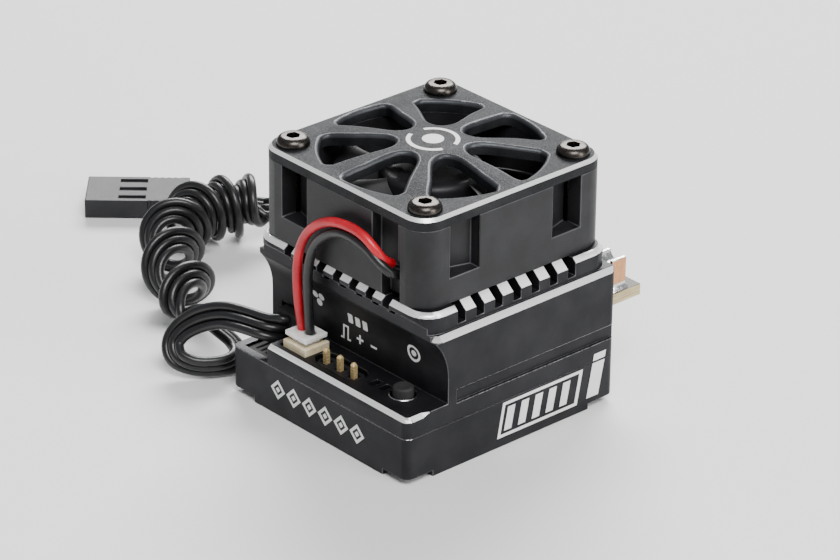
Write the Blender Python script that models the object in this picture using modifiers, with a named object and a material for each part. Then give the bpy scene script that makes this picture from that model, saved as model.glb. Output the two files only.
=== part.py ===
"""Sensored brushless speed controller for a small car, with a 30 mm cooling fan on its heat sink.

Metres, +Z up. The case stands on z = 0. -Y is the control side with its low terrace, +X the plain
label side, +Y the side with the five solder posts, and the signal lead leaves at the -X front corner.
"""

import math

import bmesh
import bpy
from mathutils import Vector

MM = 0.001
GAP = 0.3 * MM  # between pieces that touch

# Case, an aluminium tray and an aluminium upper shell
CASE_X = 16.3 * MM
CASE_FRONT = -20.0 * MM
CASE_REAR = 14.3 * MM
CASE_CORNER = 1.0 * MM
WALL = 1.2 * MM
FLOOR = 1.6 * MM
SEAM_Z = 6.35 * MM
FOOT_RELIEF_R = 4.3 * MM
FOOT_RELIEF_Z = 0.8 * MM
TERRACE_Z = 9.05 * MM
TERRACE_SKIN = 1.0 * MM
TERRACE_LEFT = -9.4 * MM
CONTROL_WALL_Y = -13.4 * MM
COVE_LOW_Z = 12.4 * MM
COVE_HIGH_Z = 17.6 * MM
COVE_OUT = 2.0 * MM
LEDGE_Z = 18.3 * MM
CEILING_Z = 16.9 * MM
GROOVE = (8.7 * MM, 10.5 * MM)
GROOVE_DEPTH = 0.4 * MM
GROOVE_FRONT = -12.0 * MM

# Finned deck under the fan
DECK_Z = 21.05 * MM
DECK_RIGHT = 15.43 * MM
DECK_LIP_Y = -16.4 * MM
DECK_LIP_Z = 19.9 * MM
DECK_CHAMFER = 0.4 * MM
DECK_CORNER = 3.0 * MM
FIN_BEVEL = (1.18 * MM, 1.0 * MM)
SLOT_PITCH = 3.0 * MM
SLOT_WIDTH = 1.2 * MM
SLOT_FLOOR = 18.8 * MM
SLOTS = 7
SLOT_FIRST_Y = -10.6 * MM
SLOT_FIRST_X = -9.75 * MM

# Fan, 30 mm square with its holes 24 mm apart
FAN_X = -0.75 * MM
FAN_Y = -0.9 * MM
FAN_SIDE = 30.0 * MM
FAN_CORNER = 3.0 * MM
FAN_BOTTOM = 21.4 * MM
FAN_FLANGE_TOP = 24.4 * MM
FAN_TOP = 31.35 * MM
FAN_BORE_R = 13.9 * MM
FAN_HOLE = 12.0 * MM
FAN_HOLE_R = 1.6 * MM
PANEL_HALF = 6.0 * MM
POST_SIDE = 4.4 * MM
RECESS_DEPTH = 2.8 * MM
NOTCH_X = (7.0 * MM, 10.2 * MM)
MOTOR_BASE_R = 6.6 * MM
MOTOR_BASE_TOP = 22.3 * MM
TUBE_R = (2.3 * MM, 2.9 * MM)
TUBE_TOP = 27.4 * MM
HUB_R = 6.6 * MM
HUB_TOP = 30.6 * MM
HUB_RIM = 23.6 * MM
HUB_WALL = 0.7 * MM
HUB_CAP = 0.8 * MM
SHAFT_SOCKET = (2.0 * MM, 28.0 * MM)  # radius, low end
STRUT = (9.2 * MM, 1.8 * MM, 1.2 * MM)
STRUT_MIDDLE_R = 10.0 * MM
STRUT_ANGLES = (20, 140, 260)
BLADES = 7
BLADE_TIP_R = 13.1 * MM
BLADE_LOW = 24.6 * MM
BLADE_HIGH = 30.2 * MM
BLADE_THICK = 0.8 * MM
BLADE_SWEEP = math.radians(46)
BLADE_SKEW = math.radians(14)
SHAFT_R = 0.75 * MM
SHAFT_LOW = 22.6 * MM
MAGNET_R = (4.9 * MM, 5.6 * MM)
MAGNET_Z = (24.2 * MM, 27.6 * MM)
BEARING_Z = (24.0 * MM, 27.0 * MM)
MOTOR_BOARD = (6.2 * MM, 23.2 * MM)  # radius, top
WINDING = (4.3 * MM, 23.5 * MM, 24.3 * MM)  # radius, low, high
CORE_R = (4.5 * MM, 3.7 * MM)  # at the poles, in the notches
CORE_Z = (24.6 * MM, 26.6 * MM)

# Fan guard
GUARD_BOTTOM = 31.65 * MM
GUARD_TOP = 32.9 * MM
GUARD_OPENINGS = 7
GUARD_OUTER_R = 13.8 * MM
GUARD_HUB_R = 4.2 * MM
GUARD_HALF_ANGLE = math.radians(17)
GUARD_DOME = 1.2 * MM
SCREW_HEAD_R = 2.1 * MM
SCREW_HEAD_H = 1.05 * MM
SCREW_R = 1.2 * MM
SCREW_END = 18.9 * MM

# Boards and what they carry
CONTROL_BOARD = (5.2 * MM, 6.2 * MM)
POWER_BOARD = (12.0 * MM, 13.5 * MM)
TAB_END = 20.0 * MM
TAB_WIDTH = 4.4 * MM
TAB_PITCH = 6.25 * MM
POST_SIZE = (3.2 * MM, 2.4 * MM, 3.9 * MM)
POST_REAR = 18.0 * MM
CHANNEL_R = 1.1 * MM
MOSFET_SIZE = (4.9 * MM, 5.9 * MM, 1.1 * MM)
MOSFET_PITCH = (6.2 * MM, 8.2 * MM)
MOSFET_Y = -5.6 * MM
THERMAL_PAD = ((-9.4 * MM, -9.2 * MM), (9.4 * MM, 6.2 * MM))
BOARD_LINK = ((-7.0 * MM, 9.4 * MM), (7.0 * MM, 12.0 * MM))
CHIPS = (  # x and y of the low corner, x and y of the high corner, top
    ("microcontroller", (-3.5, -9.0), (3.5, -2.0), 9.0),
    ("gate_driver", (5.0, -8.0), (9.5, -3.5), 9.0),
    ("supply_inductor", (-9.0, 1.0), (-3.0, 7.0), 10.8),
    ("supply_capacitor", (4.0, 1.5), (9.0, 5.5), 10.4),
)
CASE_SCREWS = ((13.2, -7.0), (13.0, 11.0), (-13.0, 11.0), (-13.2, -4.5))
CASE_SCREW_HOLE_R = 1.2 * MM
CASE_SCREW_R = 0.9 * MM
CASE_SCREW_HEAD_R = 1.8 * MM
CASE_SCREW_END = 10.2 * MM
HEAD_RECESS = (2.1 * MM, 1.35 * MM)  # radius, height
BOSS = 5.0 * MM
BOSS_TOP = 11.2 * MM

# Control side: fan socket, programming port, lights and the set button
HEADER = ((-8.3 * MM, -18.4 * MM), (-4.1 * MM, -14.5 * MM))
HEADER_Z = (6.5 * MM, 9.9 * MM)
HEADER_WALL = 0.45 * MM
PLUG_TOP = 11.0 * MM
PLUG_EDGE = (0.15 * MM, 0.2 * MM)  # its rim stands back from the socket's edge
PORT = ((-3.4 * MM, -18.3 * MM), (4.8 * MM, -15.2 * MM))
PORT_TOP = 8.6 * MM
PIN_PITCH = 2.54 * MM
PIN_SIDE = 0.64 * MM
PIN_TOP = 10.45 * MM
LEDS = ((6.5 * MM, -16.4 * MM), (8.2 * MM, -16.3 * MM))
LED_WINDOW = (0.45 * MM, 0.8 * MM)  # half sizes
LED_PIPE = (0.15 * MM, 0.5 * MM)
LED_TOP = 8.9 * MM
BUTTON = (10.95 * MM, -15.8 * MM)
BUTTON_R = 1.3 * MM
BUTTON_TOP = 10.25 * MM
BUTTON_TRAVEL = 0.3 * MM
SWITCH_H = 1.2 * MM
SWITCH_SIDE = 3.0 * MM

# Leads
WIRE_R = 0.6 * MM
RED_ROUTE = (
    (7.9, -14.9, 25.7), (7.6, -16.3, 26.9), (6.7, -17.0, 28.0), (5.2, -17.3, 28.7), (3.2, -17.3, 28.9),
    (0.2, -17.4, 28.5), (-2.6, -17.4, 27.2), (-4.8, -17.4, 25.2), (-6.2, -17.4, 22.6), (-6.75, -17.4, 19.6),
    (-6.8, -17.3, 16.6), (-6.85, -17.0, 14.0), (-6.95, -16.6, 11.9), (-6.95, -16.45, 11.3),
)
BLACK_ROUTE = (
    (9.3, -14.9, 23.6), (9.2, -16.2, 24.2), (7.9, -16.9, 25.0), (5.5, -17.1, 26.4), (2.4, -17.2, 27.0),
    (-0.3, -17.2, 26.2), (-2.6, -17.2, 24.7), (-4.2, -17.2, 22.5), (-4.95, -17.2, 19.8), (-5.1, -17.1, 16.9),
    (-5.2, -16.9, 14.4), (-5.4, -16.6, 12.1), (-5.45, -16.45, 11.3),
)
GROMMET = ((-14.2 * MM, -14.7 * MM, 6.9 * MM), (-9.8 * MM, -12.6 * MM, 10.6 * MM))
LEAD_R = 1.8 * MM
LEAD_ROUTE = (
    (-12.0, -15.0, 8.7), (-12.1, -15.9, 8.8), (-12.9, -17.0, 9.0), (-14.6, -17.8, 9.2), (-17.0, -18.3, 9.1),
    (-19.6, -18.9, 8.7), (-22.2, -20.1, 7.6), (-24.0, -21.7, 6.0), (-24.4, -22.9, 4.3), (-23.0, -23.4, 2.9),
    (-21.0, -22.3, 2.2), (-19.5, -20.2, 2.0), (-18.9, -18.0, 2.0), (-19.6, -16.2, 2.3), (-21.3, -15.6, 3.1),
    (-23.3, -16.1, 4.1), (-25.2, -16.1, 4.6), (-27.1, -15.57, 4.7),
)
COIL_R = 4.6 * MM
COIL_ROUTE = (
    (-27.5, -15.45, 4.7), (-32.4, -14.0, 4.7), (-41.0, -9.4, 4.7), (-47.6, -4.3, 4.7), (-50.3, 1.0, 4.7),
    (-49.9, 4.8, 4.7), (-48.2, 8.0, 4.7), (-45.8, 10.2, 4.7),
)
TAIL_ROUTE = (
    (-45.48, 10.5, 4.7), (-44.2, 11.7, 4.5), (-43.5, 13.6, 3.5), (-44.6, 15.8, 2.5), (-47.0, 16.8, 2.0),
    (-50.4, 16.4, 2.0), (-53.6, 14.7, 2.0), (-56.6, 12.1, 2.0), (-58.6, 9.95, 1.95), (-59.75, 8.72, 1.9),
)
LEAD_PLUG = (14.0 * MM, 7.6 * MM, 2.6 * MM)
LEAD_PLUG_AT = (-64.65 * MM, 3.25 * MM)
LEAD_PLUG_TURN = math.radians(48)


def clear_scene():
    for obj in list(bpy.data.objects):
        bpy.data.objects.remove(obj, do_unlink=True)


def new_collection(name, helper=False):
    collection = bpy.data.collections.new(name)
    bpy.context.scene.collection.children.link(collection)
    collection.hide_render = helper
    return collection


def finish(name, colour, roughness, metallic=0.0):
    """A Principled material with that colour, roughness and metallic value."""
    made = bpy.data.materials.new(name)
    made.use_nodes = True
    shader = made.node_tree.nodes["Principled BSDF"]
    shader.inputs["Base Color"].default_value = (*colour, 1.0)
    shader.inputs["Roughness"].default_value = roughness
    shader.inputs["Metallic"].default_value = metallic
    return made


def add(name, data, look, location=(0, 0, 0), turn=(0, 0, 0)):
    """An object of that mesh or curve: a part where look is a material, a cutter where it is None."""
    obj = bpy.data.objects.new(name, data)
    obj.location = location
    obj.rotation_euler = turn
    if look is None:
        CUTTERS.objects.link(obj)
        obj.hide_render = True
        obj.display_type = "WIRE"
    else:
        PARTS.objects.link(obj)
        obj.data.materials.append(look)
    return obj


def box(name, low, high, look=None, turn=(0, 0, 0)):
    bm = bmesh.new()
    bmesh.ops.create_cube(bm, size=1.0)
    low, high = Vector(low), Vector(high)
    bmesh.ops.scale(bm, vec=high - low, verts=bm.verts)
    mesh = bpy.data.meshes.new(name)
    bm.to_mesh(mesh)
    bm.free()
    return add(name, mesh, look, (low + high) / 2, turn)


def cylinder(name, x, y, low, high, radius, look=None, sides=32):
    """An upright round piece."""
    bm = bmesh.new()
    bmesh.ops.create_cone(bm, cap_ends=True, segments=sides, radius1=radius, radius2=radius, depth=high - low)
    mesh = bpy.data.meshes.new(name)
    bm.to_mesh(mesh)
    bm.free()
    mesh.shade_smooth()
    mesh.set_sharp_from_angle(angle=math.radians(35))
    return add(name, mesh, look, (x, y, (low + high) / 2))


def as_mesh(obj, look):
    """The curve object made a mesh, with its caps welded to its sides."""
    bpy.context.view_layer.update()
    graph = bpy.context.evaluated_depsgraph_get()
    mesh = bpy.data.meshes.new_from_object(obj.evaluated_get(graph))
    bm = bmesh.new()
    bm.from_mesh(mesh)
    bmesh.ops.remove_doubles(bm, verts=bm.verts, dist=0.002 * MM)
    bmesh.ops.dissolve_limit(bm, angle_limit=math.radians(0.5), verts=bm.verts, edges=bm.edges)
    bmesh.ops.recalc_face_normals(bm, faces=bm.faces)
    bm.to_mesh(mesh)
    bm.free()
    mesh.materials.clear()
    name, location, turn, curve = obj.name, obj.location.copy(), obj.rotation_euler.copy(), obj.data
    bpy.data.objects.remove(obj, do_unlink=True)
    bpy.data.curves.remove(curve)
    return add(name, mesh, look, location, turn)


def outline(name, loops, low, high, look=None, turn=(0, 0, 0)):
    """A flat outline with its holes, made thick from low to high along its own z."""
    curve = bpy.data.curves.new(name, "CURVE")
    curve.dimensions = "2D"
    curve.fill_mode = "BOTH"
    curve.extrude = (high - low) / 2
    for loop in loops:
        spline = curve.splines.new("POLY")
        spline.points.add(len(loop) - 1)
        for point, (x, y) in zip(spline.points, loop):
            point.co = (x, y, 0, 1)
        spline.use_cyclic_u = True
    middle = (low + high) / 2
    place = (middle, 0, 0) if turn[2] else (0, 0, middle)
    obj = bpy.data.objects.new(name, curve)
    obj.location = place
    obj.rotation_euler = turn
    bpy.context.scene.collection.objects.link(obj)
    return as_mesh(obj, look)


def side_view(name, loop, low_x, high_x, look=None):
    """A Y-Z outline made thick along X."""
    return outline(name, [loop], low_x, high_x, look, turn=(math.pi / 2, 0, math.pi / 2))


def arc(x, y, radius, first, last, steps):
    """Points round a centre, from one angle to another in degrees."""
    angles = [math.radians(first + (last - first) * i / steps) for i in range(steps + 1)]
    return [(x + radius * math.cos(a), y + radius * math.sin(a)) for a in angles]


def rounded(low, high, radius, steps=4):
    """A rectangle with rounded corners, counterclockwise."""
    (x0, y0), (x1, y1) = low, high
    r = radius
    return (
        arc(x1 - r, y0 + r, r, -90, 0, steps)
        + arc(x1 - r, y1 - r, r, 0, 90, steps)
        + arc(x0 + r, y1 - r, r, 90, 180, steps)
        + arc(x0 + r, y0 + r, r, 180, 270, steps)
    )


def circle(x, y, radius, steps=24):
    return arc(x, y, radius, 0, 360 * (steps - 1) / steps, steps - 1)


def boolean(target, operation, others):
    for other in others:
        modifier = target.modifiers.new(f"{operation.lower()} {other.name}", "BOOLEAN")
        modifier.operation = operation
        modifier.object = other
    return target


def cut(target, *cutters):
    return boolean(target, "DIFFERENCE", cutters)


def join(target, *others):
    return boolean(target, "UNION", others)


def turned(name, profile, look, x, y, steps=32):
    """A profile of (radius, z) pairs turned about an upright axis at (x, y)."""
    mesh = bpy.data.meshes.new(name)
    ends_on_axis = profile[0][0] == 0 and profile[-1][0] == 0
    edges = [(i, (i + 1) % len(profile)) for i in range(len(profile) - ends_on_axis)]
    mesh.from_pydata([(r, 0, z) for r, z in profile], edges, [])
    obj = add(name, mesh, look, (x, y, 0))
    screw = obj.modifiers.new("turn", "SCREW")
    screw.steps = screw.render_steps = steps
    screw.use_merge_vertices = True
    screw.merge_threshold = 0.00001
    return obj


def ring(name, inner, outer, low, high, look, x, y, steps=32):
    return turned(name, [(outer, high), (outer, low), (inner, low), (inner, high)], look, x, y, steps)


def smooth_route(points, spacing):
    """Points about that far apart along a smooth curve through the route's own points."""
    points = [Vector(p) * MM for p in points]
    ends = [2 * points[0] - points[1], *points, 2 * points[-1] - points[-2]]
    found = [points[0]]
    for a, b, c, d in zip(ends, ends[1:], ends[2:], ends[3:]):
        steps = max(1, round((c - b).length / spacing))
        for i in range(1, steps + 1):
            t = i / steps
            curve = (c - a) * t + (2 * a - 5 * b + 4 * c - d) * t**2 + (3 * b - a - 3 * c + d) * t**3
            found.append(b + curve / 2)
    return found


def tube(name, route, radius, look, spacing=2.6):
    """A plain round tube along a route."""
    curve = bpy.data.curves.new(name, "CURVE")
    curve.dimensions = "3D"
    curve.bevel_depth = radius
    curve.bevel_resolution = 2
    curve.use_fill_caps = True
    points = smooth_route(route, spacing * radius)
    spline = curve.splines.new("POLY")
    spline.points.add(len(points) - 1)
    for point, co in zip(spline.points, points):
        point.co = (*co, 1)
    return add(name, curve, look)


def base_tray():
    """The bottom half of the case: a tray with four solid corners and a foot that stops short of them."""
    low, high = (-CASE_X, CASE_FRONT), (CASE_X, CASE_REAR)
    tray = outline("base_tray", [rounded(low, high, CASE_CORNER)], 0, SEAM_Z - GAP / 2, ALUMINIUM)
    x, front, rear = CASE_X - WALL, CASE_FRONT + WALL, CASE_REAR - WALL
    hollow = [(-x, front), (x, front), *side_boss(x, 1), *rear_bosses(x, rear), *side_boss(x, -1)]
    cut(tray, outline("tray_hollow", [hollow], FLOOR, SEAM_Z + MM))
    for i, (sx, y) in enumerate(((-1, CASE_FRONT), (1, CASE_FRONT), (-1, CASE_REAR), (1, CASE_REAR))):
        cut(tray, cylinder(f"foot_relief_{i + 1}", sx * CASE_X, y, -MM, FOOT_RELIEF_Z, FOOT_RELIEF_R))
    recess_r, recess_z = HEAD_RECESS
    for i, (sx, sy) in enumerate(CASE_SCREWS):
        x, y = sx * MM, sy * MM
        cut(tray, cylinder(f"tray_screw_hole_{i + 1}", x, y, -MM, SEAM_Z + MM, CASE_SCREW_HOLE_R, sides=16))
        cut(tray, cylinder(f"tray_head_recess_{i + 1}", x, y, -MM, recess_z, recess_r, sides=24))


def rear_bosses(x, rear, slack=0.0):
    """The outline past the two rear screw bosses, from the +X side to the -X side."""
    right, left = BOSS + slack, BOSS + slack + 0.2 * MM
    return [
        (x, rear - right), (x - right, rear - right), (x - right, rear),
        (-x + left, rear), (-x + left, rear - left), (-x, rear - left),
    ]


def side_boss(x, side, slack=0.0):
    """The outline past the screw boss on the +X or -X wall, in the order of a counterclockwise loop."""
    y = CASE_SCREWS[0 if side > 0 else 3][1] * MM
    out, half = x - (BOSS - 0.7 * MM + slack), (2.4 * MM + slack) * side
    return [(side * x, y - half), (side * out, y - half), (side * out, y + half), (side * x, y + half)]


def upper_shell():
    """The top half of the case: terrace, coved control wall, ledge and finned deck in one."""
    cove_r = (COVE_OUT**2 + (COVE_HIGH_Z - COVE_LOW_Z) ** 2) / (2 * COVE_OUT)
    sweep = math.degrees(math.asin((COVE_HIGH_Z - COVE_LOW_Z) / cove_r))
    cove = arc(CONTROL_WALL_Y - cove_r, COVE_LOW_Z, cove_r, sweep, 0, 6)
    bottom = SEAM_Z + GAP / 2
    profile = [
        (CASE_FRONT, bottom), (CASE_REAR, bottom), (CASE_REAR, LEDGE_Z), (CONTROL_WALL_Y - COVE_OUT, LEDGE_Z),
        *cove, (CONTROL_WALL_Y, TERRACE_Z), (CASE_FRONT, TERRACE_Z),
    ]
    shell = side_view("upper_shell", profile, -CASE_X, CASE_X, ALUMINIUM)
    wall_top = CONTROL_WALL_Y - COVE_OUT
    chamfer_z = DECK_Z - DECK_CHAMFER
    deck = [
        (wall_top, LEDGE_Z - 0.5 * MM), (CASE_REAR, LEDGE_Z - 0.5 * MM), (CASE_REAR, chamfer_z),
        (CASE_REAR - DECK_CHAMFER, DECK_Z), (DECK_LIP_Y + DECK_CHAMFER, DECK_Z), (DECK_LIP_Y, chamfer_z),
        (DECK_LIP_Y, DECK_LIP_Z), (wall_top, DECK_LIP_Z - 0.8 * MM),
    ]
    join(shell, side_view("deck_block", deck, -CASE_X, DECK_RIGHT))
    cut(shell, *deck_cutters(), *hollow_cutters(), *terrace_cutters())
    window = 2 * TAB_PITCH + TAB_WIDTH / 2 + GAP
    rear = box(
        "post_window", (-window, CASE_REAR - 2 * WALL, POWER_BOARD[0] - 0.5 * MM),
        (window, CASE_REAR + MM, POWER_BOARD[1] + 0.5 * MM),
    )
    low, high = (CASE_X - GROOVE_DEPTH, GROOVE_FRONT, GROOVE[0]), (CASE_X + MM, CASE_REAR + MM, GROOVE[1])
    groove = box("label_groove", low, high)
    cut(shell, rear, groove)
    hole_top = CASE_SCREW_END + GAP
    for i, (sx, sy) in enumerate(CASE_SCREWS):
        name = f"shell_screw_hole_{i + 1}"
        cut(shell, cylinder(name, sx * MM, sy * MM, SEAM_Z - MM, hole_top, CASE_SCREW_HOLE_R, sides=16))


def deck_cutters():
    """Slots along X right across the deck, short slots in its front and rear, the screw holes and a bevel."""
    half = SLOT_WIDTH / 2
    cutters = []
    for i in range(SLOTS):
        y, x = SLOT_FIRST_Y + i * SLOT_PITCH, SLOT_FIRST_X + i * SLOT_PITCH
        cutters += [
            box(f"slot_{i + 1}", (-20 * MM, y - half, SLOT_FLOOR), (20 * MM, y + half, 23 * MM)),
            box(f"front_slot_{i + 1}", (x - half, -18 * MM, SLOT_FLOOR), (x + half, -10.8 * MM, 23 * MM)),
            box(f"rear_slot_{i + 1}", (x - half, 7.6 * MM, SLOT_FLOOR), (x + half, 16 * MM, 23 * MM)),
        ]
    for i, (x, y) in enumerate(fan_corners()):
        hole_end = SCREW_END - 0.5 * MM
        cutters.append(cylinder(f"deck_hole_{i + 1}", x, y, hole_end, 23 * MM, SCREW_R + GAP, sides=20))
    wide, tall = FIN_BEVEL
    tilt = math.atan2(tall, wide)
    first_y = SLOT_FIRST_Y
    last_y = SLOT_FIRST_Y + (SLOTS - 1) * SLOT_PITCH
    bevel = box("fin_bevel", (-3 * MM, first_y, 0), (3 * MM, last_y, 2 * MM), turn=(0, tilt, 0))
    middle = Vector((DECK_RIGHT - wide / 2, bevel.location.y, DECK_Z - tall / 2))
    bevel.location = middle + Vector((tall, 0, wide)).normalized() * MM
    return [*cutters, bevel, *deck_corners()]


def deck_corners():
    """What rounds the deck's four upright corners, all of the square past each corner's arc."""
    low_x, high_x, r = -CASE_X + DECK_CORNER, DECK_RIGHT - DECK_CORNER, DECK_CORNER
    low_y, high_y = DECK_LIP_Y + DECK_CORNER, CASE_REAR - DECK_CORNER
    out = r + MM
    cutters = []
    for i, (x, y) in enumerate(((high_x, high_y), (low_x, high_y), (low_x, low_y), (high_x, low_y))):
        first = arc(x, y, out, i * 90, i * 90 + 90, 1)
        far = arc(x, y, out * math.sqrt(2), i * 90 + 45, i * 90 + 45, 1)[0]
        loop = [*arc(x, y, r, i * 90, i * 90 + 90, 6), first[1], far, first[0]]
        cutters.append(outline(f"deck_corner_{i + 1}", [loop], LEDGE_Z, DECK_Z + MM))
    return cutters


def hollow_cutters():
    """The room inside the shell: a high one over the boards and a low one under the terrace."""
    x, rear = CASE_X - WALL, CASE_REAR - WALL
    front = CONTROL_WALL_Y + WALL
    middle = [(-x, front), (x, front), *side_boss(x, 1), *rear_bosses(x, rear), *side_boss(x, -1)]
    left, terrace_front = TERRACE_LEFT + WALL * 0.6, CASE_FRONT + WALL
    return [
        box("high_hollow", (-x, front, BOSS_TOP), (x, rear, CEILING_Z)),
        outline("middle_hollow", [middle], 5 * MM, BOSS_TOP + 0.1 * MM),
        box("low_hollow", (left, terrace_front, 5 * MM), (x, front + MM, TERRACE_Z - TERRACE_SKIN)),
    ]


def terrace_cutters():
    """Openings of the terrace, and the corner that it leaves free for the lead."""
    (hx0, hy0), (hx1, hy1) = HEADER
    low_z, high_z = 7.5 * MM, 12 * MM
    corner = (TERRACE_LEFT, CONTROL_WALL_Y, TERRACE_Z + 0.2 * MM)
    half_x, half_y = LED_WINDOW
    return [
        box("lead_corner", (-18 * MM, -22 * MM, 5 * MM), corner),
        box("lead_window", (-14.5 * MM, -14.5 * MM, 5 * MM), (-9.5 * MM, -11.5 * MM, 10.9 * MM)),
        box("header_window", (hx0 - GAP, hy0 - GAP, low_z), (hx1 + GAP, hy1 + GAP, high_z)),
        outline("port_window", [rounded(*PORT, (PORT[1][1] - PORT[0][1]) / 2.02, 6)], low_z, high_z),
        *[
            box(f"led_window_{i + 1}", (x - half_x, y - half_y, low_z), (x + half_x, y + half_y, high_z))
            for i, (x, y) in enumerate(LEDS)
        ],
        cylinder("button_window", *BUTTON, low_z, high_z, BUTTON_R + GAP, sides=32),
    ]


def case_screws():
    """Four screws from below, each with its head in a recess of the tray and a hollow in the head."""
    shank, head = CASE_SCREW_R, CASE_SCREW_HEAD_R
    profile = [
        (0.0, CASE_SCREW_END), (shank, CASE_SCREW_END), (shank, 1.2 * MM), (head, 1.2 * MM), (head, 0.3 * MM),
        (0.7 * MM, 0.3 * MM), (0.6 * MM, 0.8 * MM), (0.0, 0.8 * MM),
    ]
    for i, (x, y) in enumerate(CASE_SCREWS):
        turned(f"case_screw_{i + 1}", profile, STEEL, x * MM, y * MM, 16)


def fan_corners():
    return [(FAN_X + sx * FAN_HOLE, FAN_Y + sy * FAN_HOLE) for sx, sy in ((1, -1), (1, 1), (-1, 1), (-1, -1))]


def fan_square(radius=FAN_CORNER):
    half = FAN_SIDE / 2
    return rounded((FAN_X - half, FAN_Y - half), (FAN_X + half, FAN_Y + half), radius)


def fan_frame():
    """The fan's housing: flange, corner posts, side panels, motor base on three struts, bearing tube."""
    frame = outline("fan_frame", [fan_square()], FAN_BOTTOM, FAN_TOP, BLACK_PLASTIC)
    cut(frame, cylinder("fan_bore", FAN_X, FAN_Y, 20 * MM, 33 * MM, FAN_BORE_R, sides=64))
    for i, (x, y) in enumerate(fan_corners()):
        cut(frame, cylinder(f"fan_hole_{i + 1}", x, y, 20 * MM, 33 * MM, FAN_HOLE_R, sides=20))
    half, post = FAN_SIDE / 2, FAN_SIDE / 2 - POST_SIDE
    wedge = [(PANEL_HALF, half + MM), (PANEL_HALF, half), (post, half - RECESS_DEPTH), (post, half + MM)]
    for side in range(4):
        for mirror in (-1, 1):
            loop = [turn_point(mirror * x, y, side * 90) for x, y in wedge]
            name = f"side_recess_{side * 2 + (mirror + 3) // 2}"
            cut(frame, outline(name, [loop], FAN_FLANGE_TOP, FAN_TOP + MM))
    cut(frame, box("wire_notch", (NOTCH_X[0], -18 * MM, 20 * MM), (NOTCH_X[1], -14.4 * MM, 26.6 * MM)))
    base = cylinder("motor_base", FAN_X, FAN_Y, FAN_BOTTOM, MOTOR_BASE_TOP, MOTOR_BASE_R, sides=32)
    tube_wall = cylinder("bearing_tube", FAN_X, FAN_Y, FAN_BOTTOM, TUBE_TOP, TUBE_R[1], sides=24)
    join(frame, base, tube_wall)
    long, wide, tall = STRUT
    for i, angle in enumerate(STRUT_ANGLES):
        low, high = (-long / 2, -wide / 2, FAN_BOTTOM), (long / 2, wide / 2, FAN_BOTTOM + tall)
        strut = box(f"fan_strut_{i + 1}", low, high)
        away = math.radians(angle)
        strut.rotation_euler = (0, 0, away)
        strut.location.x = FAN_X + STRUT_MIDDLE_R * math.cos(away)
        strut.location.y = FAN_Y + STRUT_MIDDLE_R * math.sin(away)
        join(frame, strut)
    cut(frame, cylinder("tube_bore", FAN_X, FAN_Y, FAN_BOTTOM + 0.8 * MM, 29 * MM, TUBE_R[0], sides=24))


def turn_point(x, y, degrees):
    """A point given from the fan's centre, turned about it."""
    a = math.radians(degrees)
    return FAN_X + x * math.cos(a) - y * math.sin(a), FAN_Y + x * math.sin(a) + y * math.cos(a)


def blade(index):
    """One helical blade: it climbs as it runs round the hub, and its tip trails its root."""
    rows, columns = 4, 5
    root = HUB_R - 0.35 * MM
    start = 2 * math.pi * index / BLADES
    bm = bmesh.new()
    grid = []
    for row in range(rows):
        out = row / (rows - 1)
        radius = root + (BLADE_TIP_R - root) * out
        line = []
        for column in range(columns):
            along = column / (columns - 1)
            angle = start + BLADE_SWEEP * along - BLADE_SKEW * out
            height = BLADE_LOW + (BLADE_HIGH - BLADE_LOW) * (1 - along) ** 1.25
            line.append(bm.verts.new((radius * math.cos(angle), radius * math.sin(angle), height)))
        grid.append(line)
    for inner, outer in zip(grid, grid[1:]):
        for a, b, c, d in zip(inner, inner[1:], outer[1:], outer):
            bm.faces.new((a, b, c, d))
    mesh = bpy.data.meshes.new(f"blade_{index + 1}")
    bm.to_mesh(mesh)
    bm.free()
    obj = add(f"blade_{index + 1}", mesh, None, (FAN_X, FAN_Y, 0))
    solid = obj.modifiers.new("thick", "SOLIDIFY")
    solid.thickness = BLADE_THICK
    solid.offset = 0
    return obj


def fan_rotor():
    """The turning hub, a cup with seven blades, its magnet ring and its shaft, all round the fan's axis."""
    inner, ceiling = HUB_R - HUB_WALL, HUB_TOP - HUB_CAP
    socket_r, socket_low = SHAFT_SOCKET
    cup = [
        (0.0, HUB_TOP), (HUB_R - 0.5 * MM, HUB_TOP), (HUB_R, HUB_TOP - 0.6 * MM), (HUB_R, HUB_RIM),
        (inner, HUB_RIM), (inner, ceiling), (socket_r, ceiling), (socket_r, socket_low),
        (SHAFT_R + GAP, socket_low), (SHAFT_R + GAP, ceiling), (0.0, ceiling),
    ]
    hub = turned("fan_rotor", cup, BLACK_PLASTIC, FAN_X, FAN_Y, 40)
    join(hub, *[blade(i) for i in range(BLADES)])
    ring("rotor_magnet", *MAGNET_R, *MAGNET_Z, FERRITE, FAN_X, FAN_Y)
    cylinder("fan_shaft", FAN_X, FAN_Y, SHAFT_LOW, ceiling - GAP, SHAFT_R, STEEL, sides=16)


def fan_motor():
    """What stays still round the shaft: bearing, circuit board, coil former and laminated core."""
    ring("fan_bearing", SHAFT_R + GAP, TUBE_R[0] - GAP, *BEARING_Z, BRASS, FAN_X, FAN_Y, 24)
    inner = TUBE_R[1] + GAP
    board_r, board_top = MOTOR_BOARD
    ring("fan_circuit_board", inner, board_r, MOTOR_BASE_TOP + GAP, board_top, GREEN_BOARD, FAN_X, FAN_Y)
    ring("stator_winding", inner, *WINDING, COPPER, FAN_X, FAN_Y)
    pole_r, notch_r = CORE_R
    poles = []
    for i in range(4):
        notch = math.radians(i * 90 + 45)
        poles += arc(0, 0, pole_r, i * 90 - 34, i * 90 + 34, 5)
        poles += [(notch_r * math.cos(notch), notch_r * math.sin(notch))]
    core = outline("stator_core", [poles, circle(0, 0, inner, 20)], *CORE_Z, STEEL)
    core.location += Vector((FAN_X, FAN_Y, 0))


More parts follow.
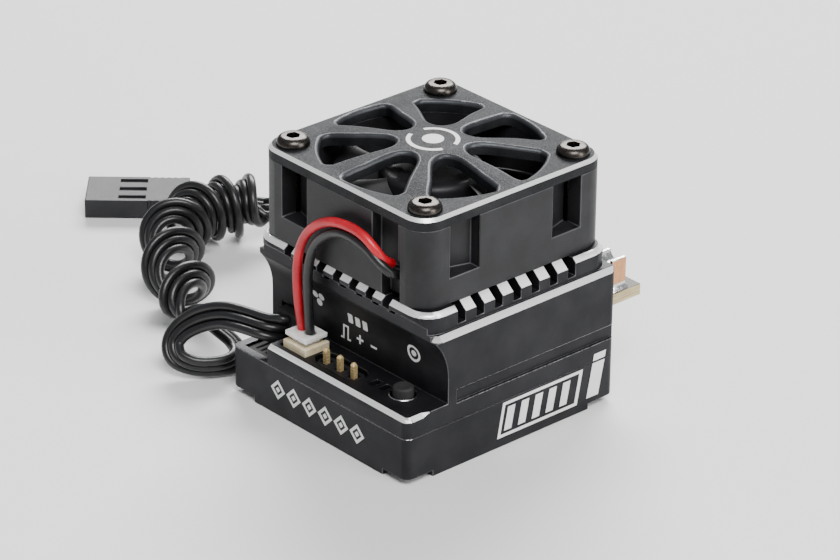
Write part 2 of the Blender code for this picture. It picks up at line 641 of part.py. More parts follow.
def guard_opening(index):
    """One opening of the guard: wide outside, pointed at one shoulder, narrow and rounded at the hub."""
    middle = math.radians(180 + index * 360 / GUARD_OPENINGS)
    wide = GUARD_HALF_ANGLE
    loop = []
    for i in range(7):
        loop.append((GUARD_OUTER_R, middle - wide + 2 * wide * i / 6))
    loop.append((GUARD_OUTER_R - 1.2 * MM, middle + wide * 1.12))
    loop.append((9.6 * MM, middle + wide * 0.92))
    loop.append((6.4 * MM, middle + wide * 0.72))
    loop.append((GUARD_HUB_R + 0.9 * MM, middle + wide * 0.5))
    loop.append((GUARD_HUB_R + 0.45 * MM, middle))
    loop.append((GUARD_HUB_R + 0.9 * MM, middle - wide * 0.5))
    loop.append((6.4 * MM, middle - wide * 0.72))
    loop.append((9.6 * MM, middle - wide * 0.92))
    loop.append((GUARD_OUTER_R - 1.2 * MM, middle - wide * 1.12))
    return [(FAN_X + r * math.cos(a), FAN_Y + r * math.sin(a)) for r, a in loop]


def fan_guard():
    """A square plate with seven openings, slightly domed towards its hub."""
    holes = [circle(x, y, SCREW_R + GAP, 16) for x, y in fan_corners()]
    loops = [fan_square(), *holes, *[guard_opening(i) for i in range(GUARD_OPENINGS)]]
    guard = outline("fan_guard", loops, GUARD_BOTTOM, GUARD_TOP, ALUMINIUM)
    for vertex in guard.data.vertices:
        away = math.hypot(vertex.co.x - FAN_X, vertex.co.y - FAN_Y)
        vertex.co.z += GUARD_DOME * max(0.0, 1 - (away / GUARD_OUTER_R) ** 2)


def guard_screws():
    """Four button-head socket screws that hold guard and fan to the deck."""
    for i, (x, y) in enumerate(fan_corners()):
        low, top = GUARD_TOP + GAP, GUARD_TOP + GAP + SCREW_HEAD_H
        profile = [
            (0.0, low + 0.3 * MM), (1.0 * MM, low + 0.3 * MM), (1.0 * MM, top), (1.6 * MM, top - 0.25 * MM),
            (SCREW_HEAD_R, low + 0.25 * MM), (SCREW_HEAD_R, low), (SCREW_R, low), (SCREW_R, SCREW_END),
            (0.0, SCREW_END),
        ]
        turned(f"guard_screw_{i + 1}", profile, STEEL, x, y, 24)


def fan_leads():
    tube("fan_wire_red", RED_ROUTE, WIRE_R, RED_PVC, 2.4)
    tube("fan_wire_black", BLACK_ROUTE, WIRE_R, BLACK_PVC, 2.4)
    (x0, y0), (x1, y1) = HEADER
    header = box("fan_header", (x0, y0, HEADER_Z[0]), (x1, y1, HEADER_Z[1]), CREAM_NYLON)
    inset = Vector((HEADER_WALL, HEADER_WALL, 0))
    low, high = Vector((x0, y0, HEADER_Z[0] + 0.5 * MM)) + inset, Vector((x1, y1, 12 * MM)) - inset
    cut(header, box("header_well", low, high))
    slack = Vector((GAP, GAP, GAP))
    plug = box("fan_plug", low + slack, (high.x - GAP, high.y - GAP, PLUG_TOP), WHITE_NYLON)
    edge_x, edge_y = PLUG_EDGE
    low, high = (x0 + edge_x, y0 + edge_y, HEADER_Z[1] + GAP), (x1 - edge_x, y1 - edge_y, PLUG_TOP)
    join(plug, box("fan_plug_rim", low, high))


def control_side():
    """Programming port, status lights, set button and the switch under it."""
    board_top = CONTROL_BOARD[1]
    (x0, y0), (x1, y1) = PORT
    low, high = (x0 + GAP, y0 + GAP), (x1 - GAP, y1 - GAP)
    loop = rounded(low, high, (high[1] - low[1]) / 2.02, 6)
    port = outline("program_port", [loop], board_top + GAP, PORT_TOP, BLACK_PLASTIC)
    middle_x, y = (x0 + x1) / 2 - 0.2 * MM, (y0 + y1) / 2
    side = PIN_SIDE / 2
    hole = side + GAP
    for i in range(3):
        x = middle_x + (i - 1) * PIN_PITCH
        cut(port, box(f"pin_hole_{i + 1}", (x - hole, y - hole, 5 * MM), (x + hole, y + hole, 10 * MM)))
        low, high = (x - side, y - side, board_top + GAP), (x + side, y + side, PIN_TOP)
        box(f"program_pin_{i + 1}", low, high, GOLD)
    half_x, half_y = LED_PIPE
    for i, (x, y) in enumerate(LEDS):
        low, high = (x - half_x, y - half_y, board_top + GAP), (x + half_x, y + half_y, LED_TOP)
        box(f"status_light_{i + 1}", low, high, CLEAR_PLASTIC)
    x, y = BUTTON
    switch_top, half = board_top + GAP + SWITCH_H, SWITCH_SIDE / 2
    foot = switch_top + BUTTON_TRAVEL + GAP
    cap = [
        (0.0, BUTTON_TOP), (BUTTON_R - 0.45 * MM, BUTTON_TOP), (BUTTON_R - 0.12 * MM, BUTTON_TOP - 0.15 * MM),
        (BUTTON_R, BUTTON_TOP - 0.45 * MM), (BUTTON_R, foot), (0.0, foot),
    ]
    turned("set_button", cap, BLACK_RUBBER, x, y, 32)
    box("set_switch", (x - half, y - half, board_top + GAP), (x + half, y + half, switch_top), STEEL)


def boards():
    """The control board under the terrace, the power board above it, and their components."""
    x, rear = CASE_X - WALL - GAP, CASE_REAR - WALL - GAP
    front = CASE_FRONT + WALL + GAP
    left = TERRACE_LEFT + WALL * 0.6 + GAP
    inner = CONTROL_WALL_Y + WALL + GAP
    control = [
        (left, front), (x, front), *side_boss(x, 1, GAP), *rear_bosses(x, rear), *side_boss(x, -1, GAP),
        (-x, inner), (left, inner),
    ]
    outline("control_board", [control], *CONTROL_BOARD, GREEN_BOARD)
    power = [(x, inner), (x, rear), *tab_outline(rear), (-x, rear), (-x, inner)]
    outline("power_board", [power], *POWER_BOARD, TAN_BOARD)
    size = Vector(MOSFET_SIZE)
    for i in range(6):
        x, y = (i % 3 - 1) * MOSFET_PITCH[0], MOSFET_Y + i // 3 * MOSFET_PITCH[1]
        low = Vector((x - size.x / 2, y - size.y / 2, POWER_BOARD[1] + GAP))
        box(f"mosfet_{i + 1}", low, low + size, BLACK_EPOXY)
    pad_low = POWER_BOARD[1] + 2 * GAP + size.z
    (x0, y0), (x1, y1) = THERMAL_PAD
    box("thermal_pad", (x0, y0, pad_low), (x1, y1, CEILING_Z - GAP), GREY_SILICONE)
    board_top, power_low = CONTROL_BOARD[1] + GAP, POWER_BOARD[0] - GAP
    (x0, y0), (x1, y1) = BOARD_LINK
    box("board_link", (x0, y0, board_top), (x1, y1, power_low), BLACK_PLASTIC)
    for (name, (x0, y0), (x1, y1), top), look in zip(CHIPS, (BLACK_EPOXY, BLACK_EPOXY, FERRITE, TAN_BOARD)):
        box(name, (x0 * MM, y0 * MM, board_top), (x1 * MM, y1 * MM, top * MM), look)


def tab_outline(root):
    """The power board's five tongues, from +X to -X, each under one solder post."""
    points = []
    for i in range(5):
        x = (2 - i) * TAB_PITCH
        right, left = x + TAB_WIDTH / 2, x - TAB_WIDTH / 2
        points += [(right, root), (right, TAB_END), (left, TAB_END), (left, root)]
    return points


def solder_posts():
    """Copper posts with a round-bottomed channel for the motor and battery wires."""
    wide, deep, tall = POST_SIZE
    low = POWER_BOARD[1] + GAP
    for i, name in enumerate(("phase_a", "phase_b", "phase_c", "negative", "positive")):
        x, top = (2 - i) * TAB_PITCH, low + tall
        corners = (x - wide / 2, POST_REAR - deep, low), (x + wide / 2, POST_REAR, top)
        post = box(f"post_{name}", *corners, COPPER)
        channel = cylinder(f"channel_{name}", x, POST_REAR - deep / 2, 0, 2 * deep, CHANNEL_R, sides=20)
        channel.rotation_euler = (math.pi / 2, 0, 0)
        channel.location.z = top
        cut(post, channel)


def signal_lead():
    """The receiver lead: its grommet, the free stretch, the wound part, the tail and the plug."""
    soften(box("lead_grommet", *GROMMET, BLACK_RUBBER), 0.4 * MM)
    tube("signal_lead", LEAD_ROUTE, LEAD_R, BLACK_PVC, 1.6)
    tube("signal_lead_coil", COIL_ROUTE, COIL_R, BLACK_PVC, 1.2)
    tube("signal_lead_tail", TAIL_ROUTE, LEAD_R, BLACK_PVC, 1.6)
    size = Vector(LEAD_PLUG)
    plug = box("signal_plug", -size / 2, size / 2, BLACK_PLASTIC)
    plug.location = (*LEAD_PLUG_AT, 0.1 * MM + size.z / 2)
    plug.rotation_euler = (0, 0, LEAD_PLUG_TURN)
    soften(plug, 0.3 * MM)


def soften(obj, width):
    bevel = obj.modifiers.new("edges", "BEVEL")
    bevel.width = width
    bevel.segments = 2


clear_scene()
PARTS = new_collection("speed_controller")
CUTTERS = new_collection("cutters", helper=True)
ALUMINIUM = finish("black anodised aluminium", (0.02, 0.02, 0.022), 0.38, 0.8)
BLACK_PLASTIC = finish("black plastic", (0.018, 0.018, 0.02), 0.5)
BLACK_RUBBER = finish("black rubber", (0.02, 0.02, 0.02), 0.7)
BLACK_EPOXY = finish("chip epoxy", (0.02, 0.02, 0.022), 0.55)
STEEL = finish("dark steel", (0.09, 0.085, 0.08), 0.3, 1.0)
BRASS = finish("sintered brass", (0.55, 0.38, 0.16), 0.4, 1.0)
GOLD = finish("gold plate", (0.8, 0.6, 0.3), 0.25, 1.0)
COPPER = finish("copper", (0.72, 0.42, 0.24), 0.3, 1.0)
FERRITE = finish("ferrite", (0.05, 0.05, 0.055), 0.6)
GREEN_BOARD = finish("solder mask", (0.015, 0.09, 0.045), 0.4)
TAN_BOARD = finish("bare laminate", (0.46, 0.38, 0.2), 0.5)
GREY_SILICONE = finish("thermal silicone", (0.45, 0.47, 0.5), 0.8)
CREAM_NYLON = finish("cream nylon", (0.8, 0.7, 0.48), 0.4)
WHITE_NYLON = finish("white nylon", (0.85, 0.84, 0.8), 0.4)
CLEAR_PLASTIC = finish("light pipe", (0.7, 0.72, 0.7), 0.2)
RED_PVC = finish("red wire", (0.6, 0.015, 0.02), 0.35)
BLACK_PVC = finish("black wire", (0.02, 0.02, 0.022), 0.4)

base_tray()
upper_shell()
case_screws()
fan_frame()
fan_rotor()
fan_motor()
fan_guard()
guard_screws()
fan_leads()
control_side()
boards()
solder_posts()
signal_lead()
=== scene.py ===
"""Looks of the speed controller: camera, signal lead, case, fan, guard, control side, solder posts, light."""

import math

import bmesh
import bpy
from mathutils import Matrix, Vector


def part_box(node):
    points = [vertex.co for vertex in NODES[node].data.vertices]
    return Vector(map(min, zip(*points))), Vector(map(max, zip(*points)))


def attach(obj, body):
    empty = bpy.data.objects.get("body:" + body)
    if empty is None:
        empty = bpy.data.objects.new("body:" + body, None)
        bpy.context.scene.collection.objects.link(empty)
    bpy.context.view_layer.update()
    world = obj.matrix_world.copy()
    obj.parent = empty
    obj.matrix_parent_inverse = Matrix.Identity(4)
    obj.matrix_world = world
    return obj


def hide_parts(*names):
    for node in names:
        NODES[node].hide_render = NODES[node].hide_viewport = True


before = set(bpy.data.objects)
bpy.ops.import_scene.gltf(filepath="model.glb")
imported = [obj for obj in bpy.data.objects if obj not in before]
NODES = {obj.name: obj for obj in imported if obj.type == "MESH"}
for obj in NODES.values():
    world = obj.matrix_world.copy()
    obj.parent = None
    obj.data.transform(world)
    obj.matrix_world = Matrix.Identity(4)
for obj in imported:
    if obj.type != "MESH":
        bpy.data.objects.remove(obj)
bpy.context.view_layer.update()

MM = 0.001
UP = Vector((0, 0, 1))

# Places read from the frame
FAN_LOW, FAN_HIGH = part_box("fan_frame")
FAN = Vector(((FAN_LOW.x + FAN_HIGH.x) / 2, FAN_LOW.y + 15 * MM, 0))
SHELL_LOW, SHELL_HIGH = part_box("upper_shell")
TRAY_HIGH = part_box("base_tray")[1]
SEAM_Z = (TRAY_HIGH.z + SHELL_LOW.z) / 2
CASE_X = SHELL_HIGH.x
FRONT = SHELL_LOW.y
DECK_Z = SHELL_HIGH.z
DECK_RIGHT = 15.43 * MM
DECK_FRONT = -16.4 * MM
LEDGE_Z = 18.3 * MM
TERRACE_Z = 9.05 * MM
WALL_Y = -13.4 * MM
COVE_Z = 12.4 * MM
COVE_R = 7.76 * MM
CASE_CORNER_R = 1 * MM
DECK_CORNER_R = 3 * MM
LEDGE_FRONT = -15.4 * MM
CHAMFER = 0.6 * MM
TERRACE_CHAMFER = 0.5 * MM
SEAM_GAP = 0.02 * MM
PRINT_THICK = 0.03 * MM
PRINT_GAP = 0.002 * MM

# Camera at the photograph's angle
CAMERA_AZIMUTH = math.radians(48.016)
CAMERA_ELEVATION = math.radians(26.971)
CAMERA_ROLL = math.radians(0.607)
CAMERA_LENS = 179.13
CAMERA_BACK = 505.86 * MM
CAMERA_SIDE = -1.566 * MM
CAMERA_UP = -16.023 * MM

# Signal lead, a flat lead of three strands, with its route in metres, and its plug
STRAND_R = 0.6 * MM
STRAND_PITCH = 1.2 * MM
LEAD_SPACING = 0.35 * MM
WINDING_R = 3.1 * MM
WINDING_SPACING = 0.25 * MM
TURN_STEPS = 36
EASE_IN = 3.2 * MM
EASE_OUT = 2.4 * MM
TAIL_DROP = 1.25  # millimetres, from the winding down to the floor
TAIL_RISE = 0.75  # millimetres, up again into the plug
LINE_PASSES = 4
ACROSS_PASSES = 30
PLUG_TURN = math.radians(48)
PLUG_HALF = Vector((6.88, 3.72, 1.3)) * MM
CONTACT_PITCH = 2.54 * MM
LEAD_ROUTE = (
    (-0.0120, -0.0150, 0.0087), (-0.0121, -0.0159, 0.0088), (-0.0129, -0.0170, 0.0090),
    (-0.0146, -0.0178, 0.0092), (-0.0170, -0.0183, 0.0091), (-0.0196, -0.0189, 0.0087),
    (-0.0222, -0.0201, 0.0076), (-0.0240, -0.0217, 0.0060), (-0.0244, -0.0229, 0.0043),
    (-0.0230, -0.0234, 0.0029), (-0.0210, -0.0223, 0.0022), (-0.0195, -0.0202, 0.0020),
    (-0.0189, -0.0180, 0.0020), (-0.0196, -0.0162, 0.0023), (-0.0213, -0.0156, 0.0031),
    (-0.0233, -0.0161, 0.0041), (-0.0252, -0.0161, 0.0046), (-0.0271, -0.01557, 0.0047),
)
COIL_ROUTE = (
    (-0.0275, -0.01545, 0.0047), (-0.0324, -0.0140, 0.0047), (-0.0410, -0.0094, 0.0047),
    (-0.0476, -0.0043, 0.0047), (-0.0503, 0.0010, 0.0047), (-0.0499, 0.0048, 0.0047),
    (-0.0482, 0.0080, 0.0047), (-0.0458, 0.0102, 0.0047),
)
TAIL_ROUTE = (
    (-0.04548, 0.0105, 0.0047), (-0.0442, 0.0117, 0.0045), (-0.0435, 0.0136, 0.0035),
    (-0.0446, 0.0158, 0.0025), (-0.0470, 0.0168, 0.0020), (-0.0504, 0.0164, 0.0020),
    (-0.0536, 0.0147, 0.0020), (-0.0566, 0.0121, 0.0020), (-0.0586, 0.00995, 0.00195),
    (-0.05975, 0.00872, 0.0019),
)
TURN_AT = (0.0, 5.1, 15.3, 24.1, 29.9, 33.6, 37.0, 40.0)  # millimetres along the winding's axis
TURN_COUNT = (0.45, 1.0, 2.0, 3.0, 4.0, 5.0, 6.0, 6.75)
LOOP_CENTRE = Vector((-21.0, -19.2, 5.6)) * MM

# Fan wires, their routes in millimetres
WIRE_R = 0.6 * MM
CRIMP_X = (-6.95 * MM, -5.45 * MM)
CRIMP_Y = -16.45 * MM
RED_ROUTE = (
    (7.8, -14.9, 25.0), (7.6, -16.2, 26.0), (6.9, -16.9, 27.3), (5.4, -17.2, 28.4), (3.2, -17.3, 28.8),
    (0.2, -17.4, 28.5), (-2.6, -17.4, 27.2), (-4.8, -17.4, 25.2), (-6.2, -17.4, 22.6),
    (-6.75, -17.4, 19.6), (-6.8, -17.3, 16.6), (-6.85, -17.0, 14.0), (-6.95, -16.6, 11.9),
    (-6.95, -16.45, 11.05),
)
BLACK_ROUTE = (
    (9.0, -14.9, 24.0), (8.8, -16.2, 24.7), (7.6, -16.9, 25.8), (5.5, -17.1, 27.0), (2.6, -17.2, 27.5),
    (-0.1, -17.2, 26.9), (-2.6, -17.2, 25.2), (-4.2, -17.2, 22.9), (-4.95, -17.2, 19.8),
    (-5.1, -17.1, 16.9), (-5.2, -16.9, 14.4), (-5.4, -16.6, 12.1), (-5.45, -16.45, 11.05),
)

# Fan and guard shapes
HUB_R = 6.6 * MM
BLADES = 7
BLADE_TIP_R = 13.1 * MM
BLADE_SWEEP = math.radians(46)
BLADE_SKEW = math.radians(14)
OPENINGS = 7
OPENING_OUTER_R = 13.8 * MM
OPENING_HALF = math.radians(17)
GUARD_HUB_R = 4.2 * MM
GUARD_DOME = 1.2 * MM
GUARD_TOP = 32.9 * MM
GUARD_HALF = 15 * MM
GUARD_CORNER_R = 3 * MM
GUARD_HOLE_R = 1.5 * MM
SCREW_OFF = 12 * MM  # from the fan's axis, along x and along y
BLADE_LOW = 24.6 * MM
BLADE_HIGH = 30.2 * MM
BLADE_CAMBER = 0.35 * MM
BLADE_ROWS = 12
BLADE_COLUMNS = 16


# Materials

def new_look(name, colour, roughness, metallic=0.0):
    """A Principled material; returns the material, its node tree and its shader."""
    made = bpy.data.materials.new(name)
    made.use_nodes = True
    shader = made.node_tree.nodes["Principled BSDF"]
    shader.inputs["Base Color"].default_value = (*colour, 1)
    shader.inputs["Roughness"].default_value = roughness
    shader.inputs["Metallic"].default_value = metallic
    return made, made.node_tree, shader


def noise_of(tree, scale, detail=4.0, stretch=(1, 1, 1)):
    """A noise over the object's own coordinates; its fineness is in cycles per metre."""
    place = tree.nodes.new("ShaderNodeTexCoord")
    mapping = tree.nodes.new("ShaderNodeMapping")
    mapping.inputs["Scale"].default_value = stretch
    noise = tree.nodes.new("ShaderNodeTexNoise")
    noise.inputs["Scale"].default_value = scale
    noise.inputs["Detail"].default_value = detail
    tree.links.new(place.outputs["Object"], mapping.inputs["Vector"])
    tree.links.new(mapping.outputs["Vector"], noise.inputs["Vector"])
    return noise.outputs["Fac"]


def vary_colour(tree, shader, factor, low, high):
    """Base colour between two shades, by that factor."""
    ramp = tree.nodes.new("ShaderNodeValToRGB")
    ramp.color_ramp.elements[0].position = 0.35
    ramp.color_ramp.elements[1].position = 0.65
    ramp.color_ramp.elements[0].color = (*low, 1)
    ramp.color_ramp.elements[1].color = (*high, 1)
    tree.links.new(factor, ramp.inputs["Fac"])
    tree.links.new(ramp.outputs["Color"], shader.inputs["Base Color"])
    return ramp


def vary_roughness(tree, shader, factor, low, high):
    """Roughness between two values, by that factor."""
    span = tree.nodes.new("ShaderNodeMapRange")
    span.inputs["From Min"].default_value = 0.3
    span.inputs["From Max"].default_value = 0.7
    span.inputs["To Min"].default_value = low
    span.inputs["To Max"].default_value = high
    tree.links.new(factor, span.inputs["Value"])
    tree.links.new(span.outputs["Result"], shader.inputs["Roughness"])


def bump_of(tree, shader, factor, strength, distance):
    """Relief by that factor, up to a distance in metres."""
    bump = tree.nodes.new("ShaderNodeBump")
    bump.inputs["Strength"].default_value = strength
    bump.inputs["Distance"].default_value = distance
    tree.links.new(factor, bump.inputs["Height"])
    tree.links.new(bump.outputs["Normal"], shader.inputs["Normal"])


def grained(name, low, high, roughness, metallic, grain, depth, gleam=0.3):
    """A finish with two scales of noise: patches in colour and roughness, and a fine grain in relief."""
    made, tree, shader = new_look(name, low, sum(roughness) / 2, metallic)
    patches = noise_of(tree, 260, 5)
    fine = noise_of(tree, grain, 3)
    vary_colour(tree, shader, patches, low, high)
    vary_roughness(tree, shader, fine, *roughness)
    bump_of(tree, shader, fine, 0.5, depth)
    shader.inputs["Specular IOR Level"].default_value = gleam
    return made


def brushed(name, low, high, roughness, stretch, scale=2600, shine=1.0):
    """Bare metal with fine cutting lines along one direction; shine is how metallic it looks."""
    made, tree, shader = new_look(name, high, sum(roughness) / 2, shine)
    lines = noise_of(tree, scale, 3, stretch)
    vary_colour(tree, shader, lines, low, high)
    vary_roughness(tree, shader, lines, *roughness)
    bump_of(tree, shader, lines, 0.2, 0.000002)
    return made


def laminate(name):
    """Board edge: tan glass laminate in thin layers with small fibre ends."""
    made, tree, shader = new_look(name, (0.42, 0.34, 0.18), 0.5)
    layers = noise_of(tree, 900, 3, (0.4, 0.4, 14))
    vary_colour(tree, shader, layers, (0.30, 0.23, 0.10), (0.60, 0.50, 0.29))
    vary_roughness(tree, shader, layers, 0.38, 0.62)
    bump_of(tree, shader, layers, 0.4, 0.00002)
    return made


def insulation(name, colour, roughness):
    """Soft wire insulation: faint mottling, fine drawing lines and a thin gloss."""
    made, tree, shader = new_look(name, colour, roughness)
    patches = noise_of(tree, 420, 4)
    fine = noise_of(tree, 5200, 2)
    darker = tuple(value * 0.72 for value in colour)
    vary_colour(tree, shader, patches, darker, colour)
    vary_roughness(tree, shader, fine, roughness - 0.07, roughness + 0.09)
    bump_of(tree, shader, fine, 0.25, 0.000008)
    shader.inputs["Specular IOR Level"].default_value = 0.4
    shader.inputs["Coat Weight"].default_value = 0.15
    shader.inputs["Coat Roughness"].default_value = 0.2
    return made


def nylon(name, low, high):
    """Moulded nylon: pale mottling that lets a little light in."""
    made, tree, shader = new_look(name, high, 0.4)
    patches = noise_of(tree, 900, 4)
    vary_colour(tree, shader, patches, low, high)
    vary_roughness(tree, shader, patches, 0.32, 0.5)
    bump_of(tree, shader, noise_of(tree, 6000, 2), 0.2, 0.00001)
    shader.inputs["Subsurface Weight"].default_value = 0.15
    shader.inputs["Subsurface Scale"].default_value = 0.0008
    return made


ANODISED = grained(
    "anodised", (0.012, 0.012, 0.014), (0.021, 0.021, 0.024), (0.34, 0.48), 0.55, 16000, 0.000012
)
BLASTED = grained(
    "blasted", (0.007, 0.008, 0.009), (0.020, 0.021, 0.023), (0.45, 0.7), 0.2, 5600, 0.00011, 0.18
)
# Painted highlight: a lighter colour on the rounded lips of the guard's openings.
LIP_HIGHLIGHT = grained("painted_lip_highlight", (0.040, 0.042, 0.046), (0.075, 0.078, 0.084), (0.34, 0.5), 0.6, 7500, 0.00003)
# Bare metal on the cut chamfers; its near-white, half-metallic colour is also a painted highlight for the
# light those chamfers catch.
BARE_METAL_AND_HIGHLIGHT = brushed("bare_aluminium_and_painted_highlight", (0.88, 0.88, 0.88), (0.96, 0.96, 0.96), (0.28, 0.38), (1, 1, 8), shine=0.5)
PLASTIC = grained(
    "fan_plastic", (0.009, 0.009, 0.010), (0.017, 0.017, 0.019), (0.38, 0.55), 0.0, 9000, 0.000018
)
HOUSING = grained(
    "plug_plastic", (0.014, 0.014, 0.016), (0.024, 0.024, 0.027), (0.34, 0.5), 0.0, 8000, 0.000012
)
RUBBER = grained("rubber", (0.013, 0.013, 0.013), (0.022, 0.022, 0.022), (0.6, 0.8), 0.0, 6500, 0.00003)
EPOXY = grained("chip_epoxy", (0.016, 0.016, 0.018), (0.028, 0.028, 0.030), (0.5, 0.7), 0.0, 9000, 0.00002)
FERRITE = grained("ferrite", (0.035, 0.035, 0.038), (0.065, 0.063, 0.062), (0.5, 0.7), 0.2, 7000, 0.00003)
SILICONE = grained("thermal_silicone", (0.38, 0.40, 0.44), (0.48, 0.50, 0.53), (0.7, 0.9), 0.0, 5000, 0.00003)
MASK = grained("solder_mask", (0.008, 0.060, 0.030), (0.016, 0.110, 0.052), (0.28, 0.42), 0.0, 3800, 0.00002)
PRINT = grained("white_print", (0.70, 0.70, 0.70), (0.82, 0.82, 0.81), (0.42, 0.58), 0.0, 9000, 0.00001)
SOLDER = grained("solder", (0.60, 0.60, 0.59), (0.80, 0.80, 0.78), (0.14, 0.34), 1.0, 1800, 0.00008)
GUNMETAL = brushed("gunmetal", (0.040, 0.036, 0.033), (0.085, 0.076, 0.068), (0.24, 0.38), (1, 1, 5), 3200)
# Painted highlight: a lighter metallic colour on the small rounded edges of shell and tray.
EDGE_HIGHLIGHT = brushed("painted_edge_highlight", (0.075, 0.075, 0.08), (0.13, 0.13, 0.135), (0.28, 0.4), (1, 1, 4))
# Painted highlight: a light line on the groove's edges, along the tray's front seam and round the button's
# hole.
HIGHLIGHT_LINE = brushed("painted_highlight_line", (0.30, 0.30, 0.31), (0.45, 0.45, 0.46), (0.22, 0.34), (1, 1, 4))
# Painted highlight: a lighter colour on the fan housing's rounded edges.
FRAME_EDGE_HIGHLIGHT = grained("painted_frame_edge_highlight", (0.045, 0.045, 0.05), (0.075, 0.075, 0.08), (0.3, 0.45), 0.0, 9000, 0.00001)
STEEL = brushed("steel", (0.42, 0.42, 0.43), (0.58, 0.58, 0.58), (0.2, 0.34), (1, 1, 6))
GOLD = brushed("gold_plate", (0.88, 0.63, 0.27), (0.95, 0.73, 0.38), (0.20, 0.3), (1, 1, 3), 3000, 0.6)
COPPER = brushed("copper", (0.58, 0.28, 0.13), (0.72, 0.38, 0.20), (0.22, 0.42), (6, 6, 1), 1400)
BRASS = brushed("sintered_brass", (0.42, 0.28, 0.10), (0.62, 0.44, 0.19), (0.32, 0.5), (1, 1, 1), 4000)
CREAM = nylon("cream_nylon", (0.70, 0.58, 0.36), (0.84, 0.74, 0.52))
WHITE = nylon("white_nylon", (0.78, 0.77, 0.73), (0.90, 0.89, 0.86))
RED = insulation("red_insulation", (0.56, 0.010, 0.022), 0.33)
BLACK = insulation("black_insulation", (0.011, 0.011, 0.012), 0.36)
TAN = laminate("bare_laminate")
SMOKED = grained(
    "smoked_light_pipe", (0.020, 0.022, 0.022), (0.035, 0.038, 0.038), (0.12, 0.22), 0.0, 5000, 0.00001
)
PADS = grained("tongue_mask", (0.020, 0.017, 0.012), (0.040, 0.032, 0.022), (0.3, 0.45), 0.0, 4000, 0.00002)


# Mesh helpers

def show(name, data):
    """A new object in the scene for that mesh, curve, camera or light."""
    obj = bpy.data.objects.new(name, data)
    bpy.context.scene.collection.objects.link(obj)
    return obj


def place(name, mesh, body, slot, looks, replaced=()):
    """A piece from a mesh: its materials, the body that it rides on and the CAD nodes that it replaces."""
    obj = show(name, mesh)
    used = [face.material_index for face in mesh.polygons]
    mesh.materials.clear()
    for look in looks:
        mesh.materials.append(look)
    mesh.polygons.foreach_set("material_index", [min(index, len(looks) - 1) for index in used])
    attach(obj, body)
    if replaced:
        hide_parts(*replaced)
    return obj


def opened(mesh):
    """A bmesh of that mesh, to be changed."""
    bm = bmesh.new()
    bm.from_mesh(mesh)
    return bm


def kept(bm, mesh):
    """Writes the bmesh to that mesh and closes it."""
    bm.to_mesh(mesh)
    bm.free()
    return mesh


def weld(bm, dist=0.002 * MM, flat=0.6):
    """Joins doubled points, and neighbouring faces that lie flat within that many degrees."""
    bmesh.ops.remove_doubles(bm, verts=bm.verts, dist=dist)
    bmesh.ops.dissolve_limit(bm, angle_limit=math.radians(flat), verts=bm.verts, edges=bm.edges)


def split_at(bm, point, normal, dist=1e-7):
    """Cuts every face of the bmesh along a plane."""
    geometry = bm.verts[:] + bm.edges[:] + bm.faces[:]
    bmesh.ops.bisect_plane(bm, geom=geometry, dist=dist, plane_co=point, plane_no=normal)


def to_mesh(name, bm, smooth=35):
    """A mesh with outward normals, sharp only at edges that turn by more than that many degrees."""
    bmesh.ops.recalc_face_normals(bm, faces=bm.faces)
    mesh = kept(bm, bpy.data.meshes.new(name))
    mesh.shade_smooth()
    mesh.set_sharp_from_angle(angle=math.radians(smooth))
    return mesh


def cad_copy(node):
    """A copy of a CAD node's mesh, with its flat faces whole."""
    bm = opened(NODES[node].data)
    weld(bm)
    return to_mesh("passing", bm)


def evaluated(mesh, modifiers):
    """That mesh after modifiers, which a function adds to a passing object."""
    obj = show("passing", mesh)
    modifiers(obj)
    bpy.context.view_layer.update()
    graph = bpy.context.evaluated_depsgraph_get()
    made = bpy.data.meshes.new_from_object(obj.evaluated_get(graph))
    bpy.data.objects.remove(obj, do_unlink=True)
    return made


def rounded_edges(mesh, width, segments=2, angle=32, smooth=40, material=-1):
    """The mesh with its sharp edges rounded by that much, in a material of their own if one is given."""
    while len(mesh.materials) <= material:
        mesh.materials.append(None)
    mesh.shade_smooth()
    mesh.set_sharp_from_angle(angle=math.radians(smooth))

    def bevel(obj):
        modifier = obj.modifiers.new("edges", "BEVEL")
        modifier.width = width
        modifier.segments = segments
        modifier.limit_method = "ANGLE"
        modifier.angle_limit = math.radians(angle)
        modifier.use_clamp_overlap = False
        modifier.material = material
        even = obj.modifiers.new("even", "WEIGHTED_NORMAL")
        even.keep_sharp = True
        even.weight = 80

    return evaluated(mesh, bevel)


def less(mesh, cutters):
    """The mesh with those meshes cut from it."""
    holders = [show(f"passing_cutter_{i}", cutter) for i, cutter in enumerate(cutters)]

    def cut(obj):
        for holder in holders:
            modifier = obj.modifiers.new("cut", "BOOLEAN")
            modifier.operation = "DIFFERENCE"
            modifier.object = holder

    made = evaluated(mesh, cut)
    for holder in holders:
        bpy.data.objects.remove(holder, do_unlink=True)
    return made


def arc(x, y, radius, first, last, steps):
    """Points on an arc between two angles in degrees."""
    angles = [math.radians(first + (last - first) * i / steps) for i in range(steps + 1)]
    return [(x + radius * math.cos(a), y + radius * math.sin(a)) for a in angles]


def rounded(low, high, r, steps=6):
    """The outline of a rectangle with round corners."""
    (x0, y0), (x1, y1) = low, high
    return (
        arc(x1 - r, y0 + r, r, -90, 0, steps) + arc(x1 - r, y1 - r, r, 0, 90, steps)
        + arc(x0 + r, y1 - r, r, 90, 180, steps) + arc(x0 + r, y0 + r, r, 180, 270, steps)
    )


